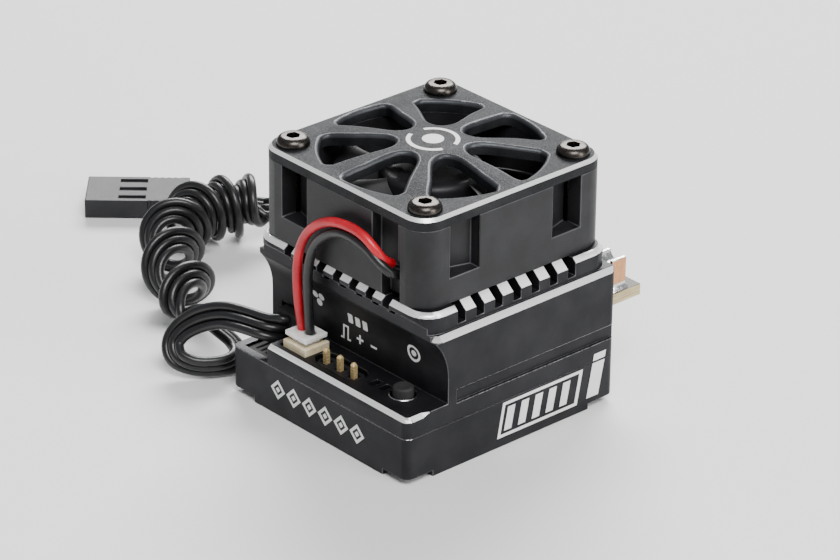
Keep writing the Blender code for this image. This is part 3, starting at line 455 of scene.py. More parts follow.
def slab(loops, low, high):
    """A flat outline with its holes, from low to high in z."""
    curve = bpy.data.curves.new("passing", "CURVE")
    curve.dimensions = "2D"
    curve.fill_mode = "BOTH"
    curve.extrude = (high - low) / 2
    for loop in loops:
        spline = curve.splines.new("POLY")
        spline.points.add(len(loop) - 1)
        for point, (x, y) in zip(spline.points, loop):
            point.co = (x, y, 0, 1)
        spline.use_cyclic_u = True
    obj = show("passing", curve)
    bpy.context.view_layer.update()
    mesh = bpy.data.meshes.new_from_object(obj.evaluated_get(bpy.context.evaluated_depsgraph_get()))
    bpy.data.objects.remove(obj, do_unlink=True)
    bpy.data.curves.remove(curve)
    mesh.transform(Matrix.Translation((0, 0, (low + high) / 2)))
    bm = opened(mesh)
    weld(bm, 0.001 * MM, 0.5)
    bmesh.ops.recalc_face_normals(bm, faces=bm.faces)
    return kept(bm, mesh)


def block(low, high):
    """A plain block between two corners, for cutting with or for rounding."""
    low, high = Vector(low), Vector(high)
    return slab([[(low.x, low.y), (high.x, low.y), (high.x, high.y), (low.x, high.y)]], low.z, high.z)


def lathe(profile, x, y, steps=48):
    """(radius, z) pairs, from the axis to the axis or closed, turned about an upright axis."""
    bm = bmesh.new()
    rings = []
    for radius, z in profile:
        if radius == 0:
            rings.append([bm.verts.new((x, y, z))])
            continue
        angles = [2 * math.pi * i / steps for i in range(steps)]
        rings.append([bm.verts.new((x + radius * math.cos(a), y + radius * math.sin(a), z)) for a in angles])
    pairs = list(zip(rings, rings[1:]))
    if profile[0][0] and profile[-1][0]:
        pairs.append((rings[-1], rings[0]))
    for first, second in pairs:
        for i in range(steps):
            j = (i + 1) % steps
            inner, outer = first[i % len(first)], second[i % len(second)]
            corners = list(dict.fromkeys((inner, first[j % len(first)], second[j % len(second)], outer)))
            if len(corners) > 2:
                bm.faces.new(corners)
    return bm


def smooth_route(points, spacing):
    """Points about that far apart on a smooth curve through the route's own points."""
    points = [Vector(p) for p in points]
    ends = [2 * points[0] - points[1], *points, 2 * points[-1] - points[-2]]
    found = [points[0]]
    for a, b, c, d in zip(ends, ends[1:], ends[2:], ends[3:]):
        steps = max(1, round((c - b).length / spacing))
        for i in range(1, steps + 1):
            t = i / steps
            curve = (c - a) * t + (2 * a - 5 * b + 4 * c - d) * t**2 + (3 * b - a - 3 * c + d) * t**3
            found.append(b + curve / 2)
    return found


def tangents(points):
    """The direction of a line at each of its points."""
    ends = [points[0], *points, points[-1]]
    return [(b - a).normalized() for a, b in zip(ends, ends[2:])]


def sweep(bm, points, radius, sides=12):
    """A round tube along points, with closed ends."""
    along = tangents(points)
    across = along[0].orthogonal().normalized()
    rings = []
    for point, tangent in zip(points, along):
        across = (across - tangent * across.dot(tangent)).normalized()
        other = tangent.cross(across)
        ring = []
        for i in range(sides):
            a = 2 * math.pi * i / sides
            ring.append(bm.verts.new(point + radius * (math.cos(a) * across + math.sin(a) * other)))
        rings.append(ring)
    for first, second in zip(rings, rings[1:]):
        for i in range(sides):
            j = (i + 1) % sides
            bm.faces.new((first[i], first[j], second[j], second[i]))
    bm.faces.new(list(reversed(rings[0])))
    bm.faces.new(rings[-1])


# Camera and lead

def camera():
    """The camera, placed from the fan's axis."""
    a, e = CAMERA_AZIMUTH, CAMERA_ELEVATION
    back = Vector((math.sin(a) * math.cos(e), -math.cos(a) * math.cos(e), math.sin(e)))
    level = (-back).cross(UP).normalized()
    over = back.cross(level)
    right = level * math.cos(CAMERA_ROLL) + over * math.sin(CAMERA_ROLL)
    up = over * math.cos(CAMERA_ROLL) - level * math.sin(CAMERA_ROLL)
    aim = Vector((FAN.x, FAN.y, GUARD_TOP))
    at = aim + back * CAMERA_BACK + right * CAMERA_SIDE + up * CAMERA_UP
    data = bpy.data.cameras.new("camera")
    data.lens = CAMERA_LENS
    data.sensor_width = 36
    data.clip_start = 0.01
    obj = show("camera", data)
    obj.matrix_world = Matrix((
        (right.x, up.x, back.x, at.x), (right.y, up.y, back.y, at.y), (right.z, up.z, back.z, at.z),
        (0, 0, 0, 1),
    ))
    bpy.context.scene.camera = obj


def winding():
    """The wound part: points and, for each, the direction across the flat lead."""
    axis = smooth_route(COIL_ROUTE, WINDING_SPACING)
    along = [0.0]
    for a, b in zip(axis, axis[1:]):
        along.append(along[-1] + (b - a).length)
    counted = [(s * MM * along[-1] / (TURN_AT[-1] * MM), n, 0) for s, n in zip(TURN_AT, TURN_COUNT)]
    marks = smooth_route(counted, 0.02)
    headings = tangents(axis)
    points, across = [], []
    index = 0
    steps = int((TURN_COUNT[-1] - TURN_COUNT[0]) * TURN_STEPS)
    for step in range(steps + 1):
        turn = TURN_COUNT[0] + (TURN_COUNT[-1] - TURN_COUNT[0]) * step / steps
        while index < len(marks) - 2 and marks[index + 1].y < turn:
            index += 1
        low, high = marks[index], marks[index + 1]
        s = low.x + (high.x - low.x) * (turn - low.y) / max(1e-9, high.y - low.y)
        guess = min(len(axis) - 1, max(0, round(s / along[-1] * (len(axis) - 1))))
        close = range(max(0, guess - 12), min(len(axis), guess + 13))
        near = min(close, key=lambda i: abs(along[i] - s))
        heading = headings[near]
        left = UP.cross(heading).normalized()
        angle = -2 * math.pi * turn
        radial = math.cos(angle) * UP + math.sin(angle) * left
        ease = max(0.0, min(1.0, s / EASE_IN, (along[-1] - s) / EASE_OUT))
        radius = WINDING_R * (ease * ease * (3 - 2 * ease))
        centre = axis[near] + heading * (s - along[near])
        points.append(centre + radial * radius)
        across.append((heading + radial * ease + UP * (1 - ease)).normalized())
    return points, across


def lead_line():
    """The middle strand's whole line, and the direction across the flat lead at each point."""
    lead = smooth_route(LEAD_ROUTE, LEAD_SPACING)
    away = Vector((-0.66, 0.6, 0)).normalized()
    lead_across = [((p - LOOP_CENTRE).normalized() + away * 0.9).normalized() for p in lead]
    coil, coil_across = winding()
    tail = smooth_route(TAIL_ROUTE, LEAD_SPACING)
    laid = []
    for i, p in enumerate(tail):
        t = i / (len(tail) - 1)
        drop = min(1.0, t / 0.35) * TAIL_DROP * MM - max(0.0, (t - 0.8) / 0.2) * TAIL_RISE * MM
        laid.append(p - UP * drop)
    tail_across = [UP.cross(heading).normalized() for heading in tangents(laid)]
    line = lead[:-3] + coil[4:-3] + laid[3:]
    across = lead_across[:-3] + coil_across[4:-3] + tail_across[3:]
    for _ in range(LINE_PASSES):
        middle = [(a + 2 * b + c) / 4 for a, b, c in zip(line, line[1:], line[2:])]
        line = [line[0], *middle, line[-1]]
    for _ in range(ACROSS_PASSES):
        turned = [(a + b * 2 + c).normalized() for a, b, c in zip(across, across[1:], across[2:])]
        across = [across[0], *turned, across[-1]]
    headings = tangents(line)
    square = [(a - h * a.dot(h)).normalized() for a, h in zip(across, headings)]
    return line, square


def signal_lead():
    """The free cord: three strands side by side, a white sleeve that stands in for a glint as a painted
    highlight, and its plug.
    """
    line, across = lead_line()
    bm = bmesh.new()
    for side in (-1, 0, 1):
        sweep(bm, [p + a * side * STRAND_PITCH for p, a in zip(line, across)], STRAND_R)
    lead = place(
        "signal_lead_strands", to_mesh("signal_lead_strands", bm, 60), "case", "black_pvc", [BLACK],
        ("signal_lead", "signal_lead_coil", "signal_lead_tail"),
    )
    glint_piece = glint_sleeve(line, across)
    plug = signal_plug()


def glint_sleeve(line, across):
    """A short white sleeve on one strand, close to the plug: a painted highlight in place of a glint on the
    lead.
    """
    first, last = len(line) - 18, len(line) - 9
    points = [p + a * STRAND_PITCH for p, a in zip(line[first:last], across[first:last])]
    bm = bmesh.new()
    # A white piece standing in for a glint: a painted highlight.
    sweep(bm, points, STRAND_R + 0.14 * MM, 16)
    mesh = rounded_edges(to_mesh("lead_glint_sleeve", bm), 0.05 * MM)
    return place("lead_glint_sleeve", mesh, "case", "white_nylon", [WHITE])


def signal_plug():
    """The lead's three-way plug: ribbed sides, contact holes at both ends and windows on top."""
    low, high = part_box("signal_plug")
    centre = (low + high) / 2
    turn = Matrix.Translation(centre) @ Matrix.Rotation(PLUG_TURN, 4, "Z")
    body = block(-PLUG_HALF, PLUG_HALF)
    cutters = []
    for i in (-1, 0, 1):
        y = i * CONTACT_PITCH
        cutters.append(block((-8 * MM, y - 0.55 * MM, -0.55 * MM), (-3.4 * MM, y + 0.55 * MM, 0.55 * MM)))
        cutters.append(block((-2.4 * MM, y - 0.5 * MM, 0.85 * MM), (1.2 * MM, y + 0.5 * MM, 2 * MM)))
        cutters.append(block((5.6 * MM, y - 0.8 * MM, -0.8 * MM), (8 * MM, y + 0.8 * MM, 0.8 * MM)))
    for side in (-1, 1):
        for i in range(5):
            x = (1.6 + i * 0.9) * MM
            y = side * 3.8 * MM
            cutters.append(block((x, y - 0.2 * MM, -2 * MM), (x + 0.4 * MM, y + 0.2 * MM, 2 * MM)))
    mesh = rounded_edges(less(body, cutters), 0.1 * MM, 3)
    mesh.transform(turn)
    plug = place("signal_plug_housing", mesh, "case", "black_plastic", [HOUSING], ("signal_plug",))
    bm = bmesh.new()
    for i in (-1, 0, 1):
        y = i * CONTACT_PITCH
        points = [Vector((x * MM, y, 0)) for x in (-6.2, -5, -4)]
        sweep(bm, points, 0.42 * MM, 8)
    contacts = to_mesh("signal_plug_contacts", bm)
    contacts.transform(turn)
    contact = place("signal_plug_contacts", contacts, "case", "gold_plate", [GOLD])
    contact.parent = plug
    return plug


# Case

def corner_cutter(x, y, sx, sy, radius, low, high):
    """What is cut from an upright edge to round it, from the rounding's centre and the corner's signs."""
    start = {(1, -1): -90, (1, 1): 0, (-1, 1): 90, (-1, -1): 180}[(sx, sy)]
    bend = arc(x, y, radius, start, start + 90, 12)
    far = (x + sx * (radius + MM), y + sy * (radius + MM))
    first = (far[0], bend[0][1]) if abs(bend[0][1] - y) < 1e-6 else (bend[0][0], far[1])
    last = (far[0], bend[-1][1]) if abs(bend[-1][1] - y) < 1e-6 else (bend[-1][0], far[1])
    return slab([[*bend, last, far, first]], low, high)


def edge_cutter(path, high, depth, closed=False):
    """What is cut from a top edge to chamfer it.

    The path holds x, y, the outward direction and a share of the depth.
    """
    bm = bmesh.new()
    over = 0.1 * MM
    rings = []
    for x, y, nx, ny, share in path:
        low, inset = high - depth * share, depth * share + over
        section = ((0, low), (-inset, high + over), (MM, high + over), (MM, low))
        rings.append([bm.verts.new((x + nx * out, y + ny * out, z)) for out, z in section])
    pairs = list(zip(rings, rings[1:]))
    if closed:
        pairs.append((rings[-1], rings[0]))
    else:
        bm.faces.new(rings[0])
        bm.faces.new(rings[-1][::-1])
    for first, second in pairs:
        for i in range(4):
            j = (i + 1) % 4
            bm.faces.new((first[i], second[i], second[j], first[j]))
    bmesh.ops.recalc_face_normals(bm, faces=bm.faces)
    return kept(bm, bpy.data.meshes.new("passing"))


def bend(x, y, radius, first, last, steps=8):
    """Part of a cutter's path round a corner."""
    angles = [math.radians(first + (last - first) * i / steps) for i in range(steps + 1)]
    headings = [(math.cos(a), math.sin(a)) for a in angles]
    return [(x + radius * nx, y + radius * ny, nx, ny, 1.0) for nx, ny in headings]


def shell_cutters():
    """Rounded upright corners, and chamfers on the top edges of deck, ledge and terrace."""
    rear, r, wide = SHELL_HIGH.y, CASE_CORNER_R, DECK_CORNER_R
    left, right, front = -CASE_X, DECK_RIGHT, DECK_FRONT
    cutters = [
        corner_cutter(CASE_X - r, FRONT + r, 1, -1, r, 4 * MM, TERRACE_Z + MM),
        corner_cutter(CASE_X - r, rear - r, 1, 1, r, 4 * MM, LEDGE_Z + 0.01 * MM),
        corner_cutter(left + r, rear - r, -1, 1, r, 4 * MM, LEDGE_Z + 0.01 * MM),
    ]
    deck = bend(right - wide, front + wide, wide, -90, 0) + bend(right - wide, rear - wide, wide, 0, 90)
    deck += bend(left + wide, rear - wide, wide, 90, 180) + bend(left + wide, front + wide, wide, 180, 270)
    ledge = [(CASE_X, rear + MM, 1, 0, 1.0)] + bend(CASE_X - r, LEDGE_FRONT + r, r, 0, -90)
    terrace = [(-10.4 * MM, FRONT, 0, -1, 1.0)] + bend(CASE_X - r, FRONT + r, r, -90, 0)
    terrace += [(CASE_X, -17.4 * MM, 1, 0, 1.0), (CASE_X, -16.2 * MM, 1, 0, 0.1)]
    return cutters + [
        edge_cutter(deck, DECK_Z, CHAMFER, True), edge_cutter(ledge, LEDGE_Z, CHAMFER),
        edge_cutter(terrace, TERRACE_Z, TERRACE_CHAMFER),
    ]


def mark_shell(mesh):
    """Bare metal with a painted highlight on the cut top edges, and a thin painted highlight line on the
    edges of the groove.
    """
    for face in mesh.polygons:
        p, n = face.center / MM, face.normal
        tilted = 0.25 < n.z < 0.97
        ledge = 17.7 < p.z < 18.35 and p.x > 14.0
        terrace = 8.5 < p.z < 9.1 and (p.y < -19.0 or p.x > 15.2)
        # Upward cut chamfers take bare metal with a painted highlight.
        if tilted and face.material_index == 0 and (p.z > 20.0 or ledge or terrace):
            face.material_index = 1
        # The groove's edges take a painted highlight line.
        groove = p.x > 16.1 and p.y > -12.2 and (abs(p.z - 8.7) < 0.12 or abs(p.z - 10.5) < 0.12)
        if face.material_index == 2 and groove:
            face.material_index = 3


def move_flat(mesh, old, new):
    """Moves the flat at one height to another, such as where two halves meet in a thin seam."""
    for vertex in mesh.vertices:
        if abs(vertex.co.z - old) < 0.01 * MM:
            vertex.co.z = new


def upper_shell():
    """The finned upper shell: bare metal with a painted highlight on its cut edges, and painted highlights on
    its rounded edges and on its groove's edges.
    """
    mesh = less(cad_copy("upper_shell"), shell_cutters())
    bm = opened(mesh)
    weld(bm)
    kept(bm, mesh)
    move_flat(mesh, SHELL_LOW.z, SEAM_Z + SEAM_GAP)
    # Rounded edges take material 2, a painted edge highlight.
    mesh = rounded_edges(mesh, 0.08 * MM, 2, 51, 40, 2)
    mark_shell(mesh)
    # Materials: anodised body, bare metal with a painted highlight, painted edge highlight, painted highlight
    # line.
    looks = [ANODISED, BARE_METAL_AND_HIGHLIGHT, EDGE_HIGHLIGHT, HIGHLIGHT_LINE]
    place("heat_sink_shell", mesh, "case", "anodised_aluminium", looks, ("upper_shell",))


def base_tray():
    """The lower half with a painted highlight line along its front seam, and the cover of the lead's corner.
    """
    mesh = cad_copy("base_tray")
    move_flat(mesh, TRAY_HIGH.z, SEAM_Z - SEAM_GAP)
    # Rounded edges take material 1, a painted edge highlight.
    mesh = rounded_edges(mesh, 0.09 * MM, 2, 32, 40, 1)
    # Rounded edges near the front seam take a painted highlight line.
    for face in mesh.polygons:
        p = face.center / MM
        near = p.y < -19.8 or (p.x > 16.1 and p.y < -12.0)
        if face.material_index == 1 and p.z > 6.2 and near:
            face.material_index = 2
    place("base_shell", mesh, "case", "anodised_aluminium", [ANODISED, EDGE_HIGHLIGHT, HIGHLIGHT_LINE], ("base_tray",))
    cover = block((-15.05 * MM, -18.75 * MM, 4.9 * MM), (-9.5 * MM, -13.5 * MM, 6.0 * MM))
    grooves = [
        block((x * MM, -17.9 * MM, 5.8 * MM), ((x + 0.35) * MM, -14.4 * MM, 7 * MM))
        for x in (-14.2, -13.3, -12.4, -11.5)
    ]
    mesh = rounded_edges(less(cover, grooves), 0.1 * MM)
    place("lead_corner_cover", mesh, "case", "black_rubber", [RUBBER])


# Fan

def fan_frame():
    """The fan's housing: its side recesses cut square at the panels, and its foot down on the deck."""
    mesh = cad_copy("fan_frame")
    cutters = []
    for side in range(4):
        a = math.radians(side * 90)
        for mirror in (-1, 1):
            loop = [(6.0, 16.0), (6.0, 13.5), (10.6, 12.15), (10.6, 16.0)]
            loop = [(mirror * x * MM, y * MM) for x, y in loop]
            turned = [(x * math.cos(a) - y * math.sin(a), x * math.sin(a) + y * math.cos(a)) for x, y in loop]
            placed = [(FAN.x + x, FAN.y + y) for x, y in turned]
            cutters.append(slab([placed], 24.4 * MM, 33 * MM))
    mesh = less(mesh, cutters)
    move_flat(mesh, FAN_LOW.z, DECK_Z + SEAM_GAP)
    # Rounded edges take material 1, a painted edge highlight.
    mesh = rounded_edges(mesh, 0.12 * MM, 2, 40, 40, 1)
    place("fan_housing", mesh, "case", "black_plastic", [PLASTIC, FRAME_EDGE_HIGHLIGHT], ("fan_frame",))


def fan_rotor():
    """Hub with a domed edge and a shallow ring, and seven twisted blades with rounded tips."""
    low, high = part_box("fan_rotor")
    top, rim = high.z, low.z
    profile = [(0.0, top - 0.25 * MM), (3.6 * MM, top - 0.25 * MM), (3.9 * MM, top - 0.02 * MM)]
    profile += [(r, z) for r, z in arc(HUB_R - 0.9 * MM, top - 0.9 * MM, 0.9 * MM, 90, 0, 6)]
    inner = HUB_R - 0.7 * MM
    profile += [(HUB_R, rim), (inner, rim), (inner, top - 0.9 * MM), (0.0, top - 0.9 * MM)]
    bm = lathe(profile, FAN.x, FAN.y, 72)
    root = HUB_R - 0.2 * MM
    for index in range(BLADES):
        start = 2 * math.pi * index / BLADES
        sides = []
        for face in (1, -1):
            grid = []
            for row in range(BLADE_ROWS + 1):
                out = row / BLADE_ROWS
                radius = root + (BLADE_TIP_R - root) * out
                line = []
                for column in range(BLADE_COLUMNS + 1):
                    along = column / BLADE_COLUMNS
                    angle = start + BLADE_SWEEP * along - BLADE_SKEW * out
                    rise = BLADE_CAMBER * math.sin(math.pi * along)
                    z = BLADE_LOW + (BLADE_HIGH - BLADE_LOW) * (1 - along) ** 1.25 + rise
                    edge = min(1.0, along / 0.08, (1 - along) / 0.08, (1 - out) / 0.06)
                    thick = (0.05 + 0.3 * math.sqrt(max(0.0, edge))) * MM
                    line.append(bm.verts.new((
                        FAN.x + radius * math.cos(angle), FAN.y + radius * math.sin(angle), z + face * thick
                    )))
                grid.append(line)
            sides.append(grid)
            for inner_row, outer_row in zip(grid, grid[1:]):
                for a, b, c, d in zip(inner_row, inner_row[1:], outer_row[1:], outer_row):
                    bm.faces.new((a, b, c, d))
        rim_up, rim_down = [
            grid[0] + [r[-1] for r in grid[1:]] + grid[-1][-2::-1] + [r[0] for r in grid[-2:0:-1]]
            for grid in sides
        ]
        for i in range(len(rim_up)):
            j = (i + 1) % len(rim_up)
            bm.faces.new((rim_up[i], rim_up[j], rim_down[j], rim_down[i]))
    mesh = to_mesh("fan_impeller", bm, 45)
    place("fan_impeller", mesh, "rotor", "black_plastic", [PLASTIC], ("fan_rotor",))


def domed(x, y):
    """How far the guard's dome rises there."""
    away = math.hypot(x - FAN.x, y - FAN.y)
    return GUARD_DOME * max(0.0, 1 - (away / OPENING_OUTER_R) ** 2)


def guard_opening(index):
    """One opening: wide outside, a sharper outer corner on one side, rounded at the hub."""
    middle = math.pi + index * 2 * math.pi / OPENINGS
    points = []
    outer, inner = OPENING_OUTER_R, GUARD_HUB_R + 0.32 * MM
    for i in range(13):
        points.append((outer, -0.86 + 1.78 * i / 12))
    points += [(outer - 0.25 * MM, 1.02), (outer - 0.8 * MM, 1.12), (outer - 2.0 * MM, 1.10)]
    points += [(10.0 * MM, 1.06), (8.4 * MM, 1.04), (7.0 * MM, 1.02), (6.0 * MM, 0.96), (5.3 * MM, 0.80)]
    points += [(4.85 * MM, 0.55), (4.6 * MM, 0.28), (inner, 0.0), (4.6 * MM, -0.28), (4.85 * MM, -0.55)]
    points += [(5.3 * MM, -0.80), (6.0 * MM, -0.96), (7.0 * MM, -1.0), (8.4 * MM, -1.0), (10.0 * MM, -0.99)]
    points += [(outer - 2.0 * MM, -1.03), (outer - 0.8 * MM, -1.04), (outer - 0.25 * MM, -0.98)]
    return [
        (FAN.x + r * math.cos(middle + k * OPENING_HALF), FAN.y + r * math.sin(middle + k * OPENING_HALF))
        for r, k in points
    ]


def fan_guard():
    """The domed guard: softened openings with a painted highlight on their rounded lips, screw holes, and a
    bare cut round its top edge whose near-white colour is also a painted highlight.
    """
    half = GUARD_HALF
    square = rounded((FAN.x - half, FAN.y - half), (FAN.x + half, FAN.y + half), GUARD_CORNER_R, 10)
    corners = [(FAN.x + sx * SCREW_OFF, FAN.y + sy * SCREW_OFF) for sx in (-1, 1) for sy in (-1, 1)]
    holes = [arc(x, y, GUARD_HOLE_R, 0, 345, 23) for x, y in corners]
    loops = [square, *holes, *[guard_opening(i) for i in range(OPENINGS)]]
    bm = opened(slab(loops, FAN_HIGH.z + SEAM_GAP, GUARD_TOP))

    def away(vertex):
        return math.hypot(vertex.co.x - FAN.x, vertex.co.y - FAN.y)

    def of_rim(edge):
        far = [max(abs(v.co.x - FAN.x), abs(v.co.y - FAN.y)) > 14.0 * MM for v in edge.verts]
        return all(far) and all(away(v) > 14.4 * MM for v in edge.verts)

    tops = [
        e for e in bm.edges if len(e.link_faces) == 2 and e.calc_face_angle(0) > math.radians(50)
        and all(abs(v.co.z - GUARD_TOP) < 0.01 * MM for v in e.verts)
    ]
    inside = [e for e in tops if all(away(v) < 14.1 * MM for v in e.verts)]
    rim = [e for e in tops if of_rim(e)]
    # The rim's bevel takes bare metal with a painted highlight.
    bmesh.ops.bevel(
        bm, geom=rim, offset=0.4 * MM, offset_type="OFFSET", segments=1, affect="EDGES",
        material=1, clamp_overlap=False,
    )
    # The openings' rounded lips take a painted highlight.
    bmesh.ops.bevel(
        bm, geom=inside, offset=0.5 * MM, offset_type="OFFSET", segments=3, affect="EDGES",
        profile=0.5, material=2, clamp_overlap=False,
    )
    for normal in ((1, 0, 0), (0, 1, 0)):
        for i in range(-14, 15):
            split_at(bm, Vector((FAN.x, FAN.y, 0)) + Vector(normal) * i * MM, normal, 0.0005 * MM)
    for vertex in bm.verts:
        vertex.co.z += domed(vertex.co.x, vertex.co.y)
    mesh = to_mesh("fan_guard_plate", bm, 38)
    place("fan_guard_plate", mesh, "case", "anodised_aluminium", [BLASTED, BARE_METAL_AND_HIGHLIGHT, LIP_HIGHLIGHT], ("fan_guard",))
    guard_badge()


def guard_badge():
    """Two arcs round a dot in white print on the guard's hub."""
    outer, inner = 3.3 * MM, 2.75 * MM
    marks = {
        f"guard_mark_arc_{letter}":
            arc(FAN.x, FAN.y, outer, a, a + 140, 24) + arc(FAN.x, FAN.y, inner, a + 140, a, 24)
        for letter, a in (("a", 20), ("b", 200))
    }
    marks["guard_mark_dot"] = arc(FAN.x, FAN.y, 1.35 * MM, 0, 345, 23)
    for name, loop in marks.items():
        mesh = slab([loop], 0, PRINT_THICK)
        for vertex in mesh.vertices:
            vertex.co.z += GUARD_TOP + domed(vertex.co.x, vertex.co.y)
        place(name, mesh, "case", "white_nylon", [PRINT])


def hexagon(x, y, radius, first):
    """The outline of a hexagon socket, from its first corner's angle in degrees."""
    angles = [math.radians(a) for a in range(first, first + 360, 60)]
    return [(x + radius * math.cos(a), y + radius * math.sin(a)) for a in angles]


def socket_screw(name, node, x, y):
    """A button-head screw with a hexagon socket, a chamfered rim and a plain shank."""
    low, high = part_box(node)
    top, seat, radius = high.z - 0.28 * MM, high.z - 1.33 * MM, 2.1 * MM
    dome = [(1.25 * MM, top)]
    for i in range(1, 9):
        a = math.radians(90 - 84 * i / 8)
        dome.append((1.25 * MM + 0.85 * MM * math.cos(a), seat + 0.12 * MM + 0.93 * MM * math.sin(a)))
    profile = [(0.0, top), *dome, (radius, seat), (1.2 * MM, seat), (1.2 * MM, low.z + 0.2 * MM)]
    profile += [(1.0 * MM, low.z), (0.0, low.z)]
    mesh = to_mesh("passing", lathe(profile, x, y, 40), 30)
    mesh = less(mesh, [slab([hexagon(x, y, 0.87 * MM, 10)], seat + 0.15 * MM, top + MM)])
    mesh = rounded_edges(mesh, 0.05 * MM, 2, 40)
    place(name, mesh, "case", "dark_steel", [GUNMETAL], (node,))


def case_screw(name, node):
    """A flat-headed screw from below, with a hexagon socket."""
    low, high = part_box(node)
    x, y = (low.x + high.x) / 2, (low.y + high.y) / 2
    head = low.z + 0.9 * MM
    profile = [(0.0, high.z), (0.6 * MM, high.z), (0.9 * MM, high.z - 0.4 * MM), (0.9 * MM, head)]
    profile += [(1.8 * MM, head), (1.8 * MM, low.z + 0.2 * MM), (1.6 * MM, low.z), (0.0, low.z)]
    mesh = to_mesh("passing", lathe(profile, x, y, 36), 30)
    mesh = less(mesh, [slab([hexagon(x, y, 0.75 * MM, 0)], low.z - MM, low.z + 0.55 * MM)])
    mesh = rounded_edges(mesh, 0.04 * MM, 2, 40)
    place(name, mesh, "case", "dark_steel", [GUNMETAL], (node,))


def fan_wire(name, node, route, look, slot):
    """One insulated wire, from the fan's corner notch to its crimp in the plug."""
    points = smooth_route([Vector(p) * MM for p in route], 0.3 * MM)
    bm = bmesh.new()
    sweep(bm, points, WIRE_R, 20)
    place(name, to_mesh(name, bm, 60), "case", slot, [look], (node,))


# Control side

def wall_y(z):
    """The control wall's surface at a height: flat, then the cove out to the deck."""
    if z <= COVE_Z:
        return WALL_Y
    return WALL_Y - COVE_R + math.sqrt(COVE_R**2 - (z - COVE_Z) ** 2)


def sliced(mesh, step=0.25 * MM):
    """The flat mesh with cuts across it, so that it can follow a curved wall."""
    bm = opened(mesh)
    low, high = min(v.co.y for v in bm.verts), max(v.co.y for v in bm.verts)
    for i in range(1, int((high - low) / step) + 1):
        split_at(bm, (0, low + i * step, 0), (0, 1, 0))
    return kept(bm, mesh)


def wall_mark(name, loops):
    """White print on the control wall; loops are (x, z) outlines in millimetres."""
    mesh = sliced(slab([[(x * MM, z * MM) for x, z in loop] for loop in loops], 0, PRINT_THICK))
    for vertex in mesh.vertices:
        x, z, lift = vertex.co
        vertex.co = (x, wall_y(z) - lift - PRINT_GAP, z)
    mesh.flip_normals()
    place(name, mesh, "case", "white_nylon", [PRINT])


def stroke(points, width):
    """An outline of even width round a run of points, with square ends."""
    points = [Vector(p) for p in points]
    left, right = [], []
    for i, p in enumerate(points):
        back = (p - points[i - 1]).normalized() if i else (points[1] - p).normalized()
        on = (points[i + 1] - p).normalized() if i + 1 < len(points) else back
        normal = (Vector((-back.y, back.x)) + Vector((-on.y, on.x)))
        normal = normal.normalized() / max(0.5, normal.normalized().dot(Vector((-on.y, on.x))))
        left.append(tuple(p + normal * width / 2))
        right.append(tuple(p - normal * width / 2))
    return left + right[::-1]


def wall_marks():
    """Generic signs by the sockets: fan, settings, pulse, plus, minus and a press sign."""
    cx, cz = -7.1, 14.3
    for i in range(3):
        a = i * 120 + 30
        px, pz = cx + 0.66 * math.cos(math.radians(a)), cz + 0.66 * math.sin(math.radians(a))
        wall_mark(f"fan_mark_petal_{i + 1}", [arc(px, pz, 0.5, 0, 340, 17)])
    for i in range(3):
        x = -1.35 + i * 1.35
        wall_mark(f"settings_mark_bar_{i + 1}", [rounded((x - 0.42, 13.0), (x + 0.42, 14.3), 0.14, 3)])
    pulse = [(-3.2, 10.5), (-2.7, 10.5), (-2.7, 12.2), (-1.9, 12.2), (-1.9, 10.5), (-1.4, 10.5)]
    wall_mark("pulse_mark", [stroke(pulse, 0.24)])
    for name, first, last in (
        ("plus_mark_upright", (0.3, 10.75), (0.3, 11.95)), ("plus_mark_left", (-0.3, 11.35), (0.14, 11.35)),
        ("plus_mark_right", (0.46, 11.35), (0.9, 11.35)), ("minus_mark", (2.3, 11.3), (3.4, 11.3)),
    ):
        wall_mark(name, [stroke([first, last], 0.28)])
    ring = [arc(10.2, 13.5, 1.15, 0, 350, 35), arc(10.2, 13.5, 0.82, 0, 350, 35)]
    wall_mark("press_mark_ring", ring)
    wall_mark("press_mark_dot", [arc(10.2, 13.5, 0.42, 0, 340, 17)])


def flat_mark(name, loops, to_place):
    """White print on a flat wall; to_place maps millimetres along and up, and the lift in metres."""
    mesh = slab([[(u * MM, v * MM) for u, v in loop] for loop in loops], 0, PRINT_THICK)
    for vertex in mesh.vertices:
        vertex.co = to_place(*vertex.co)
    bm = opened(mesh)
    bmesh.ops.recalc_face_normals(bm, faces=bm.faces)
    kept(bm, mesh)
    place(name, mesh, "case", "white_nylon", [PRINT])


def slanted(low, high, lean):
    """The outline of a bar whose top leans to one side."""
    (u0, v0), (u1, v1) = low, high
    return [(u0, v0), (u1, v0), (u1 + lean, v1), (u0 + lean, v1)]


def lozenge(u, v, size):
    """The outline of a square on its corner."""
    return [(u - size, v), (u, v + size), (u + size, v), (u, v - size)]


